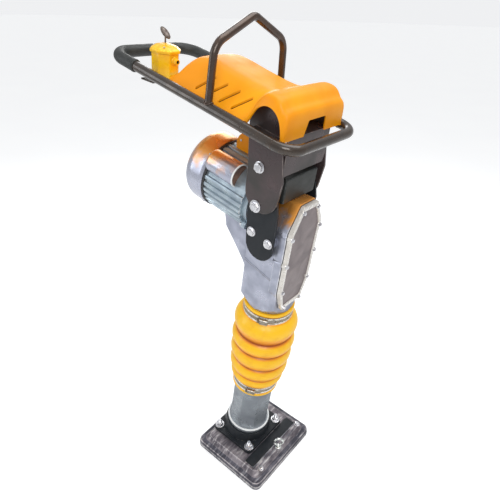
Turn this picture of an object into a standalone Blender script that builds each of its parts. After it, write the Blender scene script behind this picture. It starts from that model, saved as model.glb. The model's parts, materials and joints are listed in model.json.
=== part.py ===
"""Electric jumping jack rammer, modelled in metres with +Z up.

The origin is the centre of the foot on the ground, +X is the way the machine travels,
+Y is the operator's left. The leg leans forward, and everything above the foot is placed
in the leg's own frame: local Z runs up the leg and local X points forward.
"""

import math

import bmesh
import bpy
from mathutils import Matrix, Vector

COLLECTION = "jumping_jack_rammer"
GAP = 0.0003
MERGE = 0.00001
QUARTER = math.radians(90.0)
SIDES = {"near": -1.0, "far": 1.0}

# Frames
LEG_LEAN = 0.118
LEG_OFFSET = -0.0398
PIVOT_X, PIVOT_Z = -0.027, 0.907
HANDLE_X, HANDLE_Z = -0.2133, 1.102
HANDLE_PITCH = 0.123
CRANK_Z = 0.821
DRIVE_TILT = 0.105
BOX_X, BOX_Y = -0.152, -0.055
BOX_LOW, BOX_HIGH, BOX_RADIUS, LID_TOP = -0.022, 0.034, 0.033, 0.052

# Foot
FOOT_LENGTH, FOOT_WIDTH, FOOT_CORNER = 0.258, 0.287, 0.020
SOLE_TOP = 0.012
SHOE_TOP = 0.043
FLANGE_X = -0.030
FLANGE_LENGTH, FLANGE_WIDTH, FLANGE_THICKNESS = 0.160, 0.172, 0.012
STUD_X, STUD_Y = 0.064, 0.070
EYE_X, EYE_RADIUS, EYE_WIRE = 0.100, 0.0140, 0.0038

# Leg, guide and spring column, all round the leg's axis
LEG_BOTTOM, LEG_TOP = 0.092, 0.420
LEG_RADIUS, LEG_BORE = 0.061, 0.0510
NECK_RADIUS, NECK_BOTTOM = 0.062, 0.560
GUIDE_OUTER, GUIDE_INNER = 0.0490, 0.0440
GUIDE_BOTTOM, GUIDE_TOP = 0.300, 0.640
SPRING_TUBE_OUTER, SPRING_TUBE_INNER = 0.0420, 0.0380
SPRING_TUBE_BOTTOM, SPRING_TUBE_TOP = 0.100, 0.430
PISTON_BOTTOM, PISTON_TOP, PISTON_RADIUS = 0.245, 0.265, 0.0365
ROD_RADIUS = 0.015
WRIST_Z, WRIST_RADIUS = 0.700, 0.006
FORK_LOW, FORK_HIGH, FORK_LENGTH, FORK_WIDTH, FORK_SLOT = 0.672, 0.715, 0.040, 0.034, 0.0168
FORK_FLOOR = 0.686
CUFF_RADIUS = 0.066
LOWER_CLAMP_Z, UPPER_CLAMP_Z = 0.305, 0.586
CLAMP_WIDTH, CLAMP_RADIUS = 0.022, 0.0690
CLAMP_SCREW_ANGLE = math.radians(-62.0)

# Crankcase, its axis boxes and its cover
CASE_REAR, CASE_FRONT = -0.058, 0.054
CASE_HALF_WIDTH = 0.060
CASE_FLOOR, CASE_ROOF = 0.632, 0.925
CASE_WALL = 0.006
CAVITY_REAR, CAVITY_FRONT = -0.050, 0.070
COVER_THICKNESS, COVER_SEAT = 0.010, 0.0018
BOSS_REACH, BOSS_RADIUS = 0.0716, 0.013
LOWER_PLATE_Y, UPPER_PLATE_Y, PLATE_THICKNESS = 0.0745, 0.0805, 0.005
PLATE_BOLTS = {"rear": (-0.033, 0.836), "front": (0.018, 0.826)}
BOLT_SHANK = 0.0055
BRACKET_BOLT_X, BRACKET_BOLT_Z = -0.003, 0.091

# Crank and gears
MODULE = 0.002
GEAR_TEETH, PINION_TEETH = 47, 13
CENTRE_DISTANCE = MODULE * (GEAR_TEETH + PINION_TEETH) / 2.0
GEAR_REAR, GEAR_WIDTH = 0.034, 0.014
CRANK_THROW = 0.018
CRANK_PIN_RADIUS, CRANK_PIN_FRONT = 0.007, 0.0113
CRANK_SHAFT_RADIUS, CRANK_SHAFT_REAR = 0.0100, 0.0490
CONROD_THICKNESS = 0.016
SHAFT_RADIUS = 0.008

# Motor, measured rearward from the leg's axis
MOTOR_SEAT = 0.0630
MOTOR_FLANGE_REAR = 0.075
MOTOR_HOUSING_REAR = 0.198
FAN_COVER_REAR = 0.280
MOTOR_RADIUS, FIN_TIP, FIN_COUNT = 0.0795, 0.0865, 32
FAN_COVER_RADIUS = 0.090
STATOR_BORE, STATOR_OUTER = 0.039, 0.072
LUG_REACH, LUG_RADIUS = 0.082, 0.0105
CAPACITOR_ANGLE, CAPACITOR_REACH, CAPACITOR_RADIUS = math.radians(36.0), 0.076, 0.030
CAPACITOR_FRONT, CAPACITOR_REAR = 0.107, 0.195
TERMINAL_X, TERMINAL_Y, TERMINAL_Z, TERMINAL_WIDTH = -0.130, 0.012, 0.998, 0.052

# Handle, in the handle's own frame
HANDLE_REAR, HANDLE_FRONT, HANDLE_WIDTH, TUBE_RADIUS = -0.268, 0.279, 0.242, 0.0112
HANDLE_REAR_CORNER, HANDLE_FRONT_CORNER = 0.046, 0.038
GRIP_START = -0.175
GRIP_WALL = 0.0024
HOOP_X, HOOP_LEAN = 0.062, -0.145
HOOP_SHOULDER, HOOP_APEX, HOOP_RADIUS = 0.116, 0.165, 0.0082
HOOD_WALL = 0.003
HOOD_HALF_WIDTH, HOOD_EDGE_Z = 0.1088, 0.003
HOOD_ARCH_X, HOOD_ARCH_RISE, HOOD_ARCH_HALF = 0.200, 0.052, 0.040
NOTCH_LOW_HALF, NOTCH_HIGH_HALF, NOTCH_TOP = 0.042, 0.030, 0.036
LOUVRE_START, LOUVRE_PITCH, LOUVRE_Y, LOUVRE_Z = 0.0145, 0.035, 0.0875, 0.031
LOUVRE_TURN = math.radians(40.0)


def clear_scene():
    for old in list(bpy.data.objects):
        bpy.data.objects.remove(old, do_unlink=True)


def make_collection(name):
    collection = bpy.data.collections.new(name)
    bpy.context.scene.collection.children.link(collection)
    return collection


clear_scene()
PARTS = make_collection(COLLECTION)
CUTTERS = make_collection("cutters")


# ---------------------------------------------------------------- helpers

def make_material(name, colour, roughness, metallic):
    material = bpy.data.materials.new(name)
    material.use_nodes = True
    shader = material.node_tree.nodes["Principled BSDF"]
    shader.inputs["Base Color"].default_value = (*colour, 1.0)
    shader.inputs["Roughness"].default_value = roughness
    shader.inputs["Metallic"].default_value = metallic
    return material


MATERIALS = {
    "orange": make_material("orange_paint", (0.95, 0.42, 0.02), 0.35, 0.0),
    "yellow": make_material("yellow_plastic", (0.95, 0.62, 0.02), 0.40, 0.0),
    "bellows": make_material("yellow_rubber", (0.93, 0.55, 0.01), 0.55, 0.0),
    "tube": make_material("dark_paint", (0.07, 0.05, 0.04), 0.35, 0.3),
    "plate": make_material("brown_grey_paint", (0.11, 0.08, 0.08), 0.45, 0.3),
    "black": make_material("black_paint", (0.02, 0.02, 0.02), 0.45, 0.1),
    "rubber": make_material("black_rubber", (0.02, 0.02, 0.02), 0.80, 0.0),
    "cast": make_material("cast_aluminium", (0.50, 0.53, 0.60), 0.40, 0.9),
    "cover": make_material("cover_paint", (0.30, 0.26, 0.26), 0.45, 0.4),
    "shoe": make_material("shoe_iron", (0.16, 0.15, 0.16), 0.50, 0.7),
    "steel": make_material("bright_steel", (0.72, 0.72, 0.74), 0.25, 1.0),
    "dark_steel": make_material("dark_steel", (0.20, 0.20, 0.21), 0.35, 1.0),
    "bronze": make_material("bearing_bronze", (0.60, 0.40, 0.18), 0.35, 1.0),
}


def make_frame(name, parent=None, location=(0.0, 0.0, 0.0), rotation=(0.0, 0.0, 0.0)):
    frame = bpy.data.objects.new(name, None)
    PARTS.objects.link(frame)
    frame.parent = parent
    frame.location = location
    frame.rotation_euler = rotation
    return frame


LEG = make_frame("leg_frame", None, (LEG_OFFSET, 0.0, 0.0), (0.0, LEG_LEAN, 0.0))
PIVOT = make_frame("handle_pivot", LEG, (PIVOT_X, 0.0, PIVOT_Z))
HANDLE = make_frame("handle_frame", PIVOT, (HANDLE_X - PIVOT_X, 0.0, HANDLE_Z - PIVOT_Z),
                    (0.0, HANDLE_PITCH, 0.0))
CRANK = make_frame("crank_axis", LEG, (0.0, 0.0, CRANK_Z), (0.0, DRIVE_TILT - QUARTER, 0.0))
MOTOR = make_frame("motor_axis", CRANK, (CENTRE_DISTANCE, 0.0, 0.0))
WRIST = make_frame("wrist_axis", LEG, (0.0, 0.0, WRIST_Z))
SWITCH = make_frame("switch_axis", HANDLE, (BOX_X, BOX_Y, 0.0), (0.0, -HANDLE_PITCH, 0.0))


def place(name, data, colour, parent, location=(0.0, 0.0, 0.0), rotation=(0.0, 0.0, 0.0)):
    """Link a mesh or curve as a part, or as a hidden cutter when it has no colour."""
    thing = bpy.data.objects.new(name, data)
    thing.parent = parent
    thing.location = location
    thing.rotation_euler = rotation
    if colour is None:
        CUTTERS.objects.link(thing)
        thing.hide_render = True
        thing.display_type = "WIRE"
    else:
        PARTS.objects.link(thing)
        data.materials.append(MATERIALS[colour])
    return thing


def smooth(thing, angle=35.0):
    thing.data.shade_smooth()
    thing.data.set_sharp_from_angle(angle=math.radians(angle))
    return thing


def finish_bmesh(shape, name):
    bmesh.ops.recalc_face_normals(shape, faces=shape.faces)
    mesh = bpy.data.meshes.new(name)
    shape.to_mesh(mesh)
    shape.free()
    return mesh


def block(name, size, colour, parent, location, rotation=(0.0, 0.0, 0.0), bevel=0.0):
    shape = bmesh.new()
    bmesh.ops.create_cube(shape, size=1.0)
    bmesh.ops.scale(shape, vec=Vector(size), verts=shape.verts)
    thing = place(name, finish_bmesh(shape, name), colour, parent, location, rotation)
    if bevel:
        add_bevel(thing, bevel)
    return thing


def rod(name, radius, length, colour, parent, location, rotation=(0.0, 0.0, 0.0), sides=32, top=None):
    """A cylinder or cone centred on its location, along local Z."""
    shape = bmesh.new()
    bmesh.ops.create_cone(shape, cap_ends=True, segments=sides, radius1=radius,
                          radius2=radius if top is None else top, depth=length)
    return smooth(place(name, finish_bmesh(shape, name), colour, parent, location, rotation))


def turned(name, profile, colour, parent, location=(0.0, 0.0, 0.0), rotation=(0.0, 0.0, 0.0),
           steps=32, closed=False, wall=0.0):
    """A turned shape round local Z from (radius, height) points, outer side top to bottom."""
    mesh = bpy.data.meshes.new(name)
    points = [(radius, 0.0, height) for radius, height in profile]
    edges = [(index, index + 1) for index in range(len(points) - 1)]
    if closed:
        edges.append((len(points) - 1, 0))
    mesh.from_pydata(points, edges, [])
    thing = place(name, mesh, colour, parent, location, rotation)
    screw = thing.modifiers.new("turn", "SCREW")
    screw.axis = "Z"
    screw.steps = steps
    screw.render_steps = steps
    screw.use_merge_vertices = True
    screw.merge_threshold = MERGE
    screw.use_smooth_shade = False
    if wall:
        add_solidify(thing, wall)
    return thing


def add_solidify(thing, wall, offset=-1.0):
    solidify = thing.modifiers.new("wall", "SOLIDIFY")
    solidify.thickness = wall
    solidify.offset = offset
    solidify.use_even_offset = True


def add_bevel(thing, width, segments=2, angle=40.0):
    bevel = thing.modifiers.new("rounded", "BEVEL")
    bevel.width = width
    bevel.segments = segments
    bevel.limit_method = "ANGLE"
    bevel.angle_limit = math.radians(angle)


def combine(target, tools, operation="DIFFERENCE"):
    for tool in tools:
        modifier = target.modifiers.new(tool.name, "BOOLEAN")
        modifier.operation = operation
        modifier.solver = "EXACT"
        modifier.object = tool
    return target


def arc(centre_x, centre_y, radius, start, end, steps):
    """Points of an arc between two angles in degrees, ends included."""
    points = []
    for step in range(steps + 1):
        angle = math.radians(start + (end - start) * step / steps)
        points.append((centre_x + radius * math.cos(angle), centre_y + radius * math.sin(angle)))
    return points


def circle(centre_x, centre_y, radius, steps=24):
    return arc(centre_x, centre_y, radius, 0.0, 360.0, steps)[:-1]


def rounded_rectangle(half_x, half_y, radius, steps=4, centre_x=0.0):
    points = []
    for quadrant, (sign_x, sign_y) in enumerate(((1, 1), (-1, 1), (-1, -1), (1, -1))):
        points += arc(centre_x + sign_x * (half_x - radius), sign_y * (half_y - radius), radius,
                      90.0 * quadrant, 90.0 * (quadrant + 1), steps)
    return points


def sheet(name, loops, thickness, colour, parent, location=(0.0, 0.0, 0.0), rotation=(0.0, 0.0, 0.0)):
    """A flat outline with holes, extruded evenly about local Z and made a mesh."""
    curve = bpy.data.curves.new(name, "CURVE")
    curve.dimensions = "2D"
    curve.fill_mode = "BOTH"
    curve.extrude = thickness / 2.0
    for loop in loops:
        spline = curve.splines.new("POLY")
        spline.points.add(len(loop) - 1)
        for point, (x, y) in zip(spline.points, loop):
            point.co = (x, y, 0.0, 1.0)
        spline.use_cyclic_u = True
    return solid_from_curve(name, curve, colour, parent, location, rotation)


def solid_from_curve(name, curve, colour, parent, location, rotation):
    source = bpy.data.objects.new(name + "_curve", curve)
    PARTS.objects.link(source)
    bpy.context.view_layer.update()
    evaluated = source.evaluated_get(bpy.context.evaluated_depsgraph_get())
    mesh = bpy.data.meshes.new_from_object(evaluated)
    bpy.data.objects.remove(source, do_unlink=True)
    shape = bmesh.new()
    shape.from_mesh(mesh)
    bmesh.ops.remove_doubles(shape, verts=shape.verts, dist=0.000005)
    bmesh.ops.recalc_face_normals(shape, faces=shape.faces)
    shape.to_mesh(mesh)
    shape.free()
    mesh.materials.clear()
    return place(name, mesh, colour, parent, location, rotation)


def fillet(points, radius, steps, cyclic=False):
    """Round the corners of a 3-D polyline with arcs of one radius."""
    points = [Vector(point) for point in points]
    rounded = []
    for index, corner in enumerate(points):
        if not cyclic and index in (0, len(points) - 1):
            rounded.append(corner)
            continue
        size = radius[index] if isinstance(radius, (list, tuple)) else radius
        before = (points[index - 1] - corner).normalized()
        after = (points[(index + 1) % len(points)] - corner).normalized()
        half = before.angle(after) / 2.0
        setback = size / math.tan(half)
        centre = corner + (before + after).normalized() * size / math.sin(half)
        start = corner + before * setback - centre
        end = corner + after * setback - centre
        sweep = start.angle(end)
        for step in range(steps + 1):
            share = step / steps
            blend = start * math.sin((1.0 - share) * sweep) + end * math.sin(share * sweep)
            rounded.append(centre + blend / math.sin(sweep))
    return rounded


def path_curve(name, points, radius, cyclic=False, resolution=3, caps=True):
    curve = bpy.data.curves.new(name, "CURVE")
    curve.dimensions = "3D"
    curve.bevel_depth = radius
    curve.bevel_resolution = resolution
    curve.use_fill_caps = caps
    curve.twist_mode = "MINIMUM"
    spline = curve.splines.new("POLY")
    spline.points.add(len(points) - 1)
    for point, place_at in zip(spline.points, points):
        point.co = (*place_at, 1.0)
    spline.use_cyclic_u = cyclic
    return curve


def tube(name, points, radius, colour, parent, cyclic=False, resolution=3):
    return place(name, path_curve(name, points, radius, cyclic, resolution), colour, parent)


def loft(name, sections, colour, parent, location=(0.0, 0.0, 0.0), rotation=(0.0, 0.0, 0.0)):
    """Skin equal-length closed sections, given as lists of 3-D points, and cap both ends."""
    shape = bmesh.new()
    rings = [[shape.verts.new(point) for point in section] for section in sections]
    count = len(rings[0])
    for low, high in zip(rings[:-1], rings[1:]):
        for index in range(count):
            after = (index + 1) % count
            shape.faces.new((low[index], low[after], high[after], high[index]))
    shape.faces.new(rings[0][::-1])
    shape.faces.new(rings[-1])
    return place(name, finish_bmesh(shape, name), colour, parent, location, rotation)


def at_height(outline, height):
    return [(x, y, height) for x, y in outline]


def raise_mesh(thing, height):
    thing.data.transform(Matrix.Translation((0.0, 0.0, height)))


def fastener(name, parent, location, rotation, hex_radius, hex_height, shank_radius, shank_length,
             stud=0.0, washer=0.0004):
    """A hexagon head on a washer with a round shank below and, for a nut, a stud end above."""
    body = rod(name, hex_radius * 1.35, washer, "steel", parent, location, rotation, sides=20)
    raise_mesh(body, washer / 2)
    sunk = washer * 0.5
    head = rod(name + "_head", hex_radius, hex_height, None, parent, location, rotation, sides=6)
    raise_mesh(head, sunk + hex_height / 2)
    top = sunk + hex_height + stud if stud else washer * 0.8
    shank = rod(name + "_shank", shank_radius, shank_length + top, None, parent, location, rotation, sides=12)
    raise_mesh(shank, (top - shank_length) / 2)
    combine(body, [head, shank], "UNION")


# ---------------------------------------------------------------- foot

def build_foot():
    sole = sheet("wear_plate", [rounded_rectangle(FOOT_LENGTH / 2, FOOT_WIDTH / 2, FOOT_CORNER)],
                 SOLE_TOP, "dark_steel", None, (0.0, 0.0, SOLE_TOP / 2))
    add_bevel(sole, 0.003)
    half_x, half_y = FOOT_LENGTH / 2, FOOT_WIDTH / 2
    steps = ((SOLE_TOP + GAP, 0.001, 0.019), (0.024, 0.003, 0.018), (0.028, 0.007, 0.017),
             (0.030, 0.014, 0.016), (SHOE_TOP - 0.002, 0.026, 0.014), (SHOE_TOP, 0.028, 0.013))
    sections = [at_height(rounded_rectangle(half_x - inset, half_y - inset, corner), height)
                for height, inset, corner in steps]
    smooth(loft("shoe_body", sections, "shoe", None), 25.0)


def build_flange():
    outline = rounded_rectangle(FLANGE_LENGTH / 2, FLANGE_WIDTH / 2, 0.014)
    holes = [circle(sign_x * STUD_X, sign_y * STUD_Y, 0.0066, 16) for sign_x in (-1, 1) for sign_y in (-1, 1)]
    low = SHOE_TOP + GAP
    flange = sheet("leg_flange", [outline] + holes, FLANGE_THICKNESS, "black", None,
                   (FLANGE_X, 0.0, low + FLANGE_THICKNESS / 2))
    collar_low = low + 0.008
    collar = rod("collar_union", 0.078, LEG_BOTTOM - GAP - collar_low, None, LEG,
                 (0.0, 0.0, (LEG_BOTTOM - GAP + collar_low) / 2), top=0.071)
    trim = block("collar_trim", (0.3, 0.3, 0.05), None, None, (FLANGE_X, 0.0, low + 0.002 - 0.025))
    combine(collar, [trim])
    combine(flange, [collar], "UNION")
    for number, (sign_x, sign_y) in enumerate(((-1, -1), (-1, 1), (1, -1), (1, 1)), 1):
        spot = (FLANGE_X + sign_x * STUD_X, sign_y * STUD_Y, low + FLANGE_THICKNESS + GAP)
        fastener(f"flange_bolt_{number}", None, spot, (0.0, 0.0, 0.0), 0.0105, 0.010, 0.006,
                 FLANGE_THICKNESS, stud=0.012, washer=0.0025)


def build_eye_bolt():
    base = SHOE_TOP + GAP
    ring = bmesh.new()
    major, minor = 20, 8
    circles = []
    for turn_x, turn_z in circle(0.0, 0.0, 1.0, major):
        points = [((EYE_RADIUS + out) * turn_x, along, (EYE_RADIUS + out) * turn_z)
                  for out, along in circle(0.0, 0.0, EYE_WIRE, minor)]
        circles.append([ring.verts.new(point) for point in points])
    for step in range(major):
        here, there = circles[step], circles[(step + 1) % major]
        for index in range(minor):
            after = (index + 1) % minor
            ring.faces.new((here[index], here[after], there[after], there[index]))
    height = base + 0.006 + EYE_RADIUS + EYE_WIRE
    eye = smooth(place("eye_bolt", finish_bmesh(ring, "eye_bolt"), "steel", None,
                       (EYE_X, 0.0, height), (0.0, 0.0, math.radians(60.0))))
    stem = rod("eye_bolt_stem", 0.0045, 0.009, None, None, (EYE_X, 0.0, base + 0.0045), sides=12)
    washer = rod("eye_bolt_washer", 0.010, 0.003, None, None, (EYE_X, 0.0, base + 0.0015), sides=16)
    combine(eye, [stem, washer], "UNION")


def build_leg():
    profile = [(0.0565, LEG_TOP), (0.0565, 0.332), (0.0605, 0.326), (LEG_RADIUS, 0.270), (LEG_RADIUS, 0.140),
               (0.0625, 0.122), (0.0655, 0.106), (0.067, 0.100), (0.067, LEG_BOTTOM),
               (LEG_BORE, LEG_BOTTOM), (LEG_BORE, LEG_TOP)]
    turned("leg_tube", profile, "cast", LEG, closed=True)


def bellows_profile():
    """Outer side of the bellows, top to bottom: a lip, a cuff, four folds, a cuff and a lip."""
    folds = ((0.5745, 0.505, 0.0875, 0.0800), (0.505, 0.456, 0.0890, 0.0795),
             (0.456, 0.401, 0.0875, 0.0770), (0.401, 0.353, 0.0845, 0.0735),
             (0.353, 0.318, 0.0790, CUFF_RADIUS))
    profile = [(CUFF_RADIUS + 0.003, 0.608), (CUFF_RADIUS + 0.003, 0.601), (CUFF_RADIUS, 0.599),
               (CUFF_RADIUS, 0.5745)]
    start_radius = 0.070
    for top, bottom, crest, groove in folds:
        for share in (0.25, 0.75):
            base = start_radius + (groove - start_radius) * share
            swell = math.sin(math.pi * share)
            profile.append((base + (crest - base) * swell ** 0.7, top + (bottom - top) * share))
        profile.append((groove, bottom))
        start_radius = groove
    profile += [(CUFF_RADIUS, 0.292), (CUFF_RADIUS + 0.003, 0.290), (CUFF_RADIUS + 0.003, 0.283)]
    return profile


def build_bellows():
    turned("bellows", bellows_profile(), "bellows", LEG, steps=24, wall=0.0032)


def build_clamp(name, centre):
    half = CLAMP_WIDTH / 2
    inner = CUFF_RADIUS + GAP
    band = turned(name, [(CLAMP_RADIUS, centre + half), (CLAMP_RADIUS, centre - half),
                         (inner, centre - half), (inner, centre + half)], "steel", LEG, closed=True)
    reach = CLAMP_RADIUS + 0.0035
    spot = (reach * math.cos(CLAMP_SCREW_ANGLE), reach * math.sin(CLAMP_SCREW_ANGLE), centre)
    housing = block(name + "_housing", (0.010, 0.024, 0.014), None, LEG, spot,
                    (0.0, 0.0, CLAMP_SCREW_ANGLE))
    combine(band, [housing], "UNION")


def build_spring_column():
    top, bottom = SPRING_TUBE_TOP, SPRING_TUBE_BOTTOM
    turned("spring_cylinder", [(SPRING_TUBE_OUTER, top), (SPRING_TUBE_OUTER, bottom), (0.0, bottom),
                               (0.0, bottom + 0.008), (SPRING_TUBE_INNER, bottom + 0.008),
                               (SPRING_TUBE_INNER, top)], "dark_steel", LEG, closed=True, steps=28)
    cap_low, cap_high = top + GAP, top + 0.010
    turned("spring_cap", [(SPRING_TUBE_OUTER, cap_high), (SPRING_TUBE_OUTER, cap_low),
                          (ROD_RADIUS + 0.0015, cap_low), (ROD_RADIUS + 0.0015, cap_high)],
           "bronze", LEG, closed=True, steps=28)
    build_spring("lower_spring", bottom + 0.0085, PISTON_BOTTOM - 0.0005)
    build_spring("upper_spring", PISTON_TOP + 0.0005, top - 0.0005)


def build_spring(name, low, high):
    wire, coil, turns, per_turn = 0.0040, 0.0290, 4, 11
    count = turns * per_turn
    bottom, top = low + wire + 0.0005, high - wire - 0.0005
    points = []
    for step in range(count + 1):
        angle = 2.0 * math.pi * step / per_turn
        share = step / count
        points.append((coil * math.cos(angle), coil * math.sin(angle), bottom + (top - bottom) * share))
    tube(name, points, wire, "steel", LEG, resolution=1)


# ---------------------------------------------------------------- plunger and connecting rod

def build_plunger():
    low, high = PISTON_TOP + GAP, FORK_LOW + 0.004
    shaft = rod("plunger_rod", ROD_RADIUS, high - low, "steel", LEG, (0.0, 0.0, (low + high) / 2), sides=24)
    fork = block("plunger_fork", (FORK_LENGTH, FORK_WIDTH, FORK_HIGH - FORK_LOW), None, LEG,
                 (0.0, 0.0, (FORK_LOW + FORK_HIGH) / 2))
    slot = block("fork_slot", (FORK_SLOT, 0.060, 0.040), None, LEG, (0.0, 0.0, FORK_FLOOR + 0.020))
    bore = rod("fork_bore", WRIST_RADIUS + 0.0003, 0.060, None, LEG, (0.0, 0.0, WRIST_Z),
               (0.0, QUARTER, 0.0), sides=24)
    combine(shaft, [fork], "UNION")
    combine(shaft, [slot, bore])
    rod("piston", PISTON_RADIUS, PISTON_TOP - PISTON_BOTTOM, "bronze", LEG,
        (0.0, 0.0, (PISTON_TOP + PISTON_BOTTOM) / 2), sides=28)
    rod("wrist_pin", WRIST_RADIUS, FORK_LENGTH - 0.002, "steel", LEG, (0.0, 0.0, WRIST_Z),
        (0.0, QUARTER, 0.0), sides=24)


def build_connecting_rod():
    length = CRANK_Z - CRANK_THROW - WRIST_Z
    big, small, neck = 0.016, 0.012, 0.0065
    big_angle = math.degrees(math.asin(neck / big))
    small_angle = math.degrees(math.asin(neck / small))
    outline = arc(0.0, 0.0, small, 90.0 + small_angle, 450.0 - small_angle, 14)
    outline += arc(0.0, length, big, -90.0 + big_angle, 270.0 - big_angle, 16)
    holes = [circle(0.0, 0.0, WRIST_RADIUS + 0.0004, 20), circle(0.0, length, CRANK_PIN_RADIUS + 0.0010, 20)]
    sheet("connecting_rod", [outline] + holes, CONROD_THICKNESS, "cast", WRIST,
          rotation=(QUARTER, 0.0, QUARTER))


# ---------------------------------------------------------------- crank and gears

def involute(base, radius):
    """Angle of an involute of the base circle where it reaches a radius."""
    ratio = math.sqrt(max((radius / base) ** 2 - 1.0, 0.0))
    return ratio - math.atan(ratio)


def gear_outline(teeth, first_tooth):
    """Involute teeth of 20 degrees with stub tips; first_tooth is the angle of one tooth's middle."""
    pitch = MODULE * teeth / 2.0
    base = pitch * math.cos(math.radians(20.0))
    tip = pitch + 0.75 * MODULE
    root = pitch - 1.05 * MODULE
    backlash = 0.0002 / pitch
    half_tooth = math.pi / (2.0 * teeth) - backlash / 2.0
    points = []
    for tooth in range(teeth):
        middle = first_tooth + 2.0 * math.pi * tooth / teeth
        flank = []
        for share in (0.0, 0.5, 1.0):
            radius = max(root, base) + (tip - max(root, base)) * share
            flank.append((radius, half_tooth + involute(base, pitch) - involute(base, radius)))
        foot_angle = flank[0][1]
        rising = [(root, foot_angle)] + flank if root < base else flank
        for radius, angle in rising:
            points.append((radius * math.cos(middle - angle), radius * math.sin(middle - angle)))
        for radius, angle in reversed(rising):
            points.append((radius * math.cos(middle + angle), radius * math.sin(middle + angle)))
    return points


def build_crank():
    gear_middle = GEAR_REAR - GEAR_WIDTH / 2
    gear = sheet("crank_gear", [gear_outline(GEAR_TEETH, 0.0)], GEAR_WIDTH, "dark_steel", CRANK,
                 (0.0, 0.0, gear_middle))
    shaft = rod("crank_shaft", CRANK_SHAFT_RADIUS, CRANK_SHAFT_REAR - gear_middle, None, CRANK,
                (0.0, 0.0, (CRANK_SHAFT_REAR + gear_middle) / 2), sides=24)
    pin = rod("crank_pin", CRANK_PIN_RADIUS, gear_middle - CRANK_PIN_FRONT, None, CRANK,
              (-CRANK_THROW, 0.0, (gear_middle + CRANK_PIN_FRONT) / 2), sides=24)
    combine(gear, [shaft, pin], "UNION")
    bearing = ring_profile(0.0170, CRANK_SHAFT_RADIUS + 0.0004, 0.038, CRANK_SHAFT_REAR + 0.0005)
    turned("crank_bearing", bearing, "bronze", CRANK, closed=True, steps=24)


def ring_profile(outer, inner, low, high):
    return [(outer, high), (outer, low), (inner, low), (inner, high)]


def build_rotor():
    gap_tooth = math.pi + math.pi / PINION_TEETH
    outline = gear_outline(PINION_TEETH, gap_tooth)
    sheet("pinion", [outline, circle(0.0, 0.0, SHAFT_RADIUS + 0.0003)], GEAR_WIDTH, "steel", MOTOR,
          (0.0, 0.0, GEAR_REAR - GEAR_WIDTH / 2))
    shaft_front, shaft_rear = 0.016, 0.240
    rod("motor_shaft", SHAFT_RADIUS, shaft_rear - shaft_front, "steel", MOTOR,
        (0.0, 0.0, (shaft_front + shaft_rear) / 2), sides=24)
    turned("rotor_core", ring_profile(0.0375, SHAFT_RADIUS + 0.0003, 0.088, 0.185), "dark_steel", MOTOR,
           closed=True, steps=28)
    blades = []
    for blade in range(8):
        middle = 45.0 * blade
        blades += arc(0.0, 0.0, 0.070, middle - 5.0, middle + 5.0, 2)
        blades += arc(0.0, 0.0, 0.024, middle + 12.0, middle + 33.0, 2)
    sheet("fan", [blades, circle(0.0, 0.0, SHAFT_RADIUS + 0.0003)], 0.022, "rubber", MOTOR, (0.0, 0.0, 0.223))


# ---------------------------------------------------------------- crankcase

def case_outline(inset=0.0):
    """Outline of the crankcase seen from the front: chamfered shoulders and a narrower foot."""
    half = CASE_HALF_WIDTH - inset
    return [(half, 0.690), (half, 0.866), (0.028, CASE_ROOF - inset), (-0.028, CASE_ROOF - inset),
            (-half, 0.866), (-half, 0.690), (-0.042 + inset, 0.634 + inset), (0.042 - inset, 0.634 + inset)]


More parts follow.
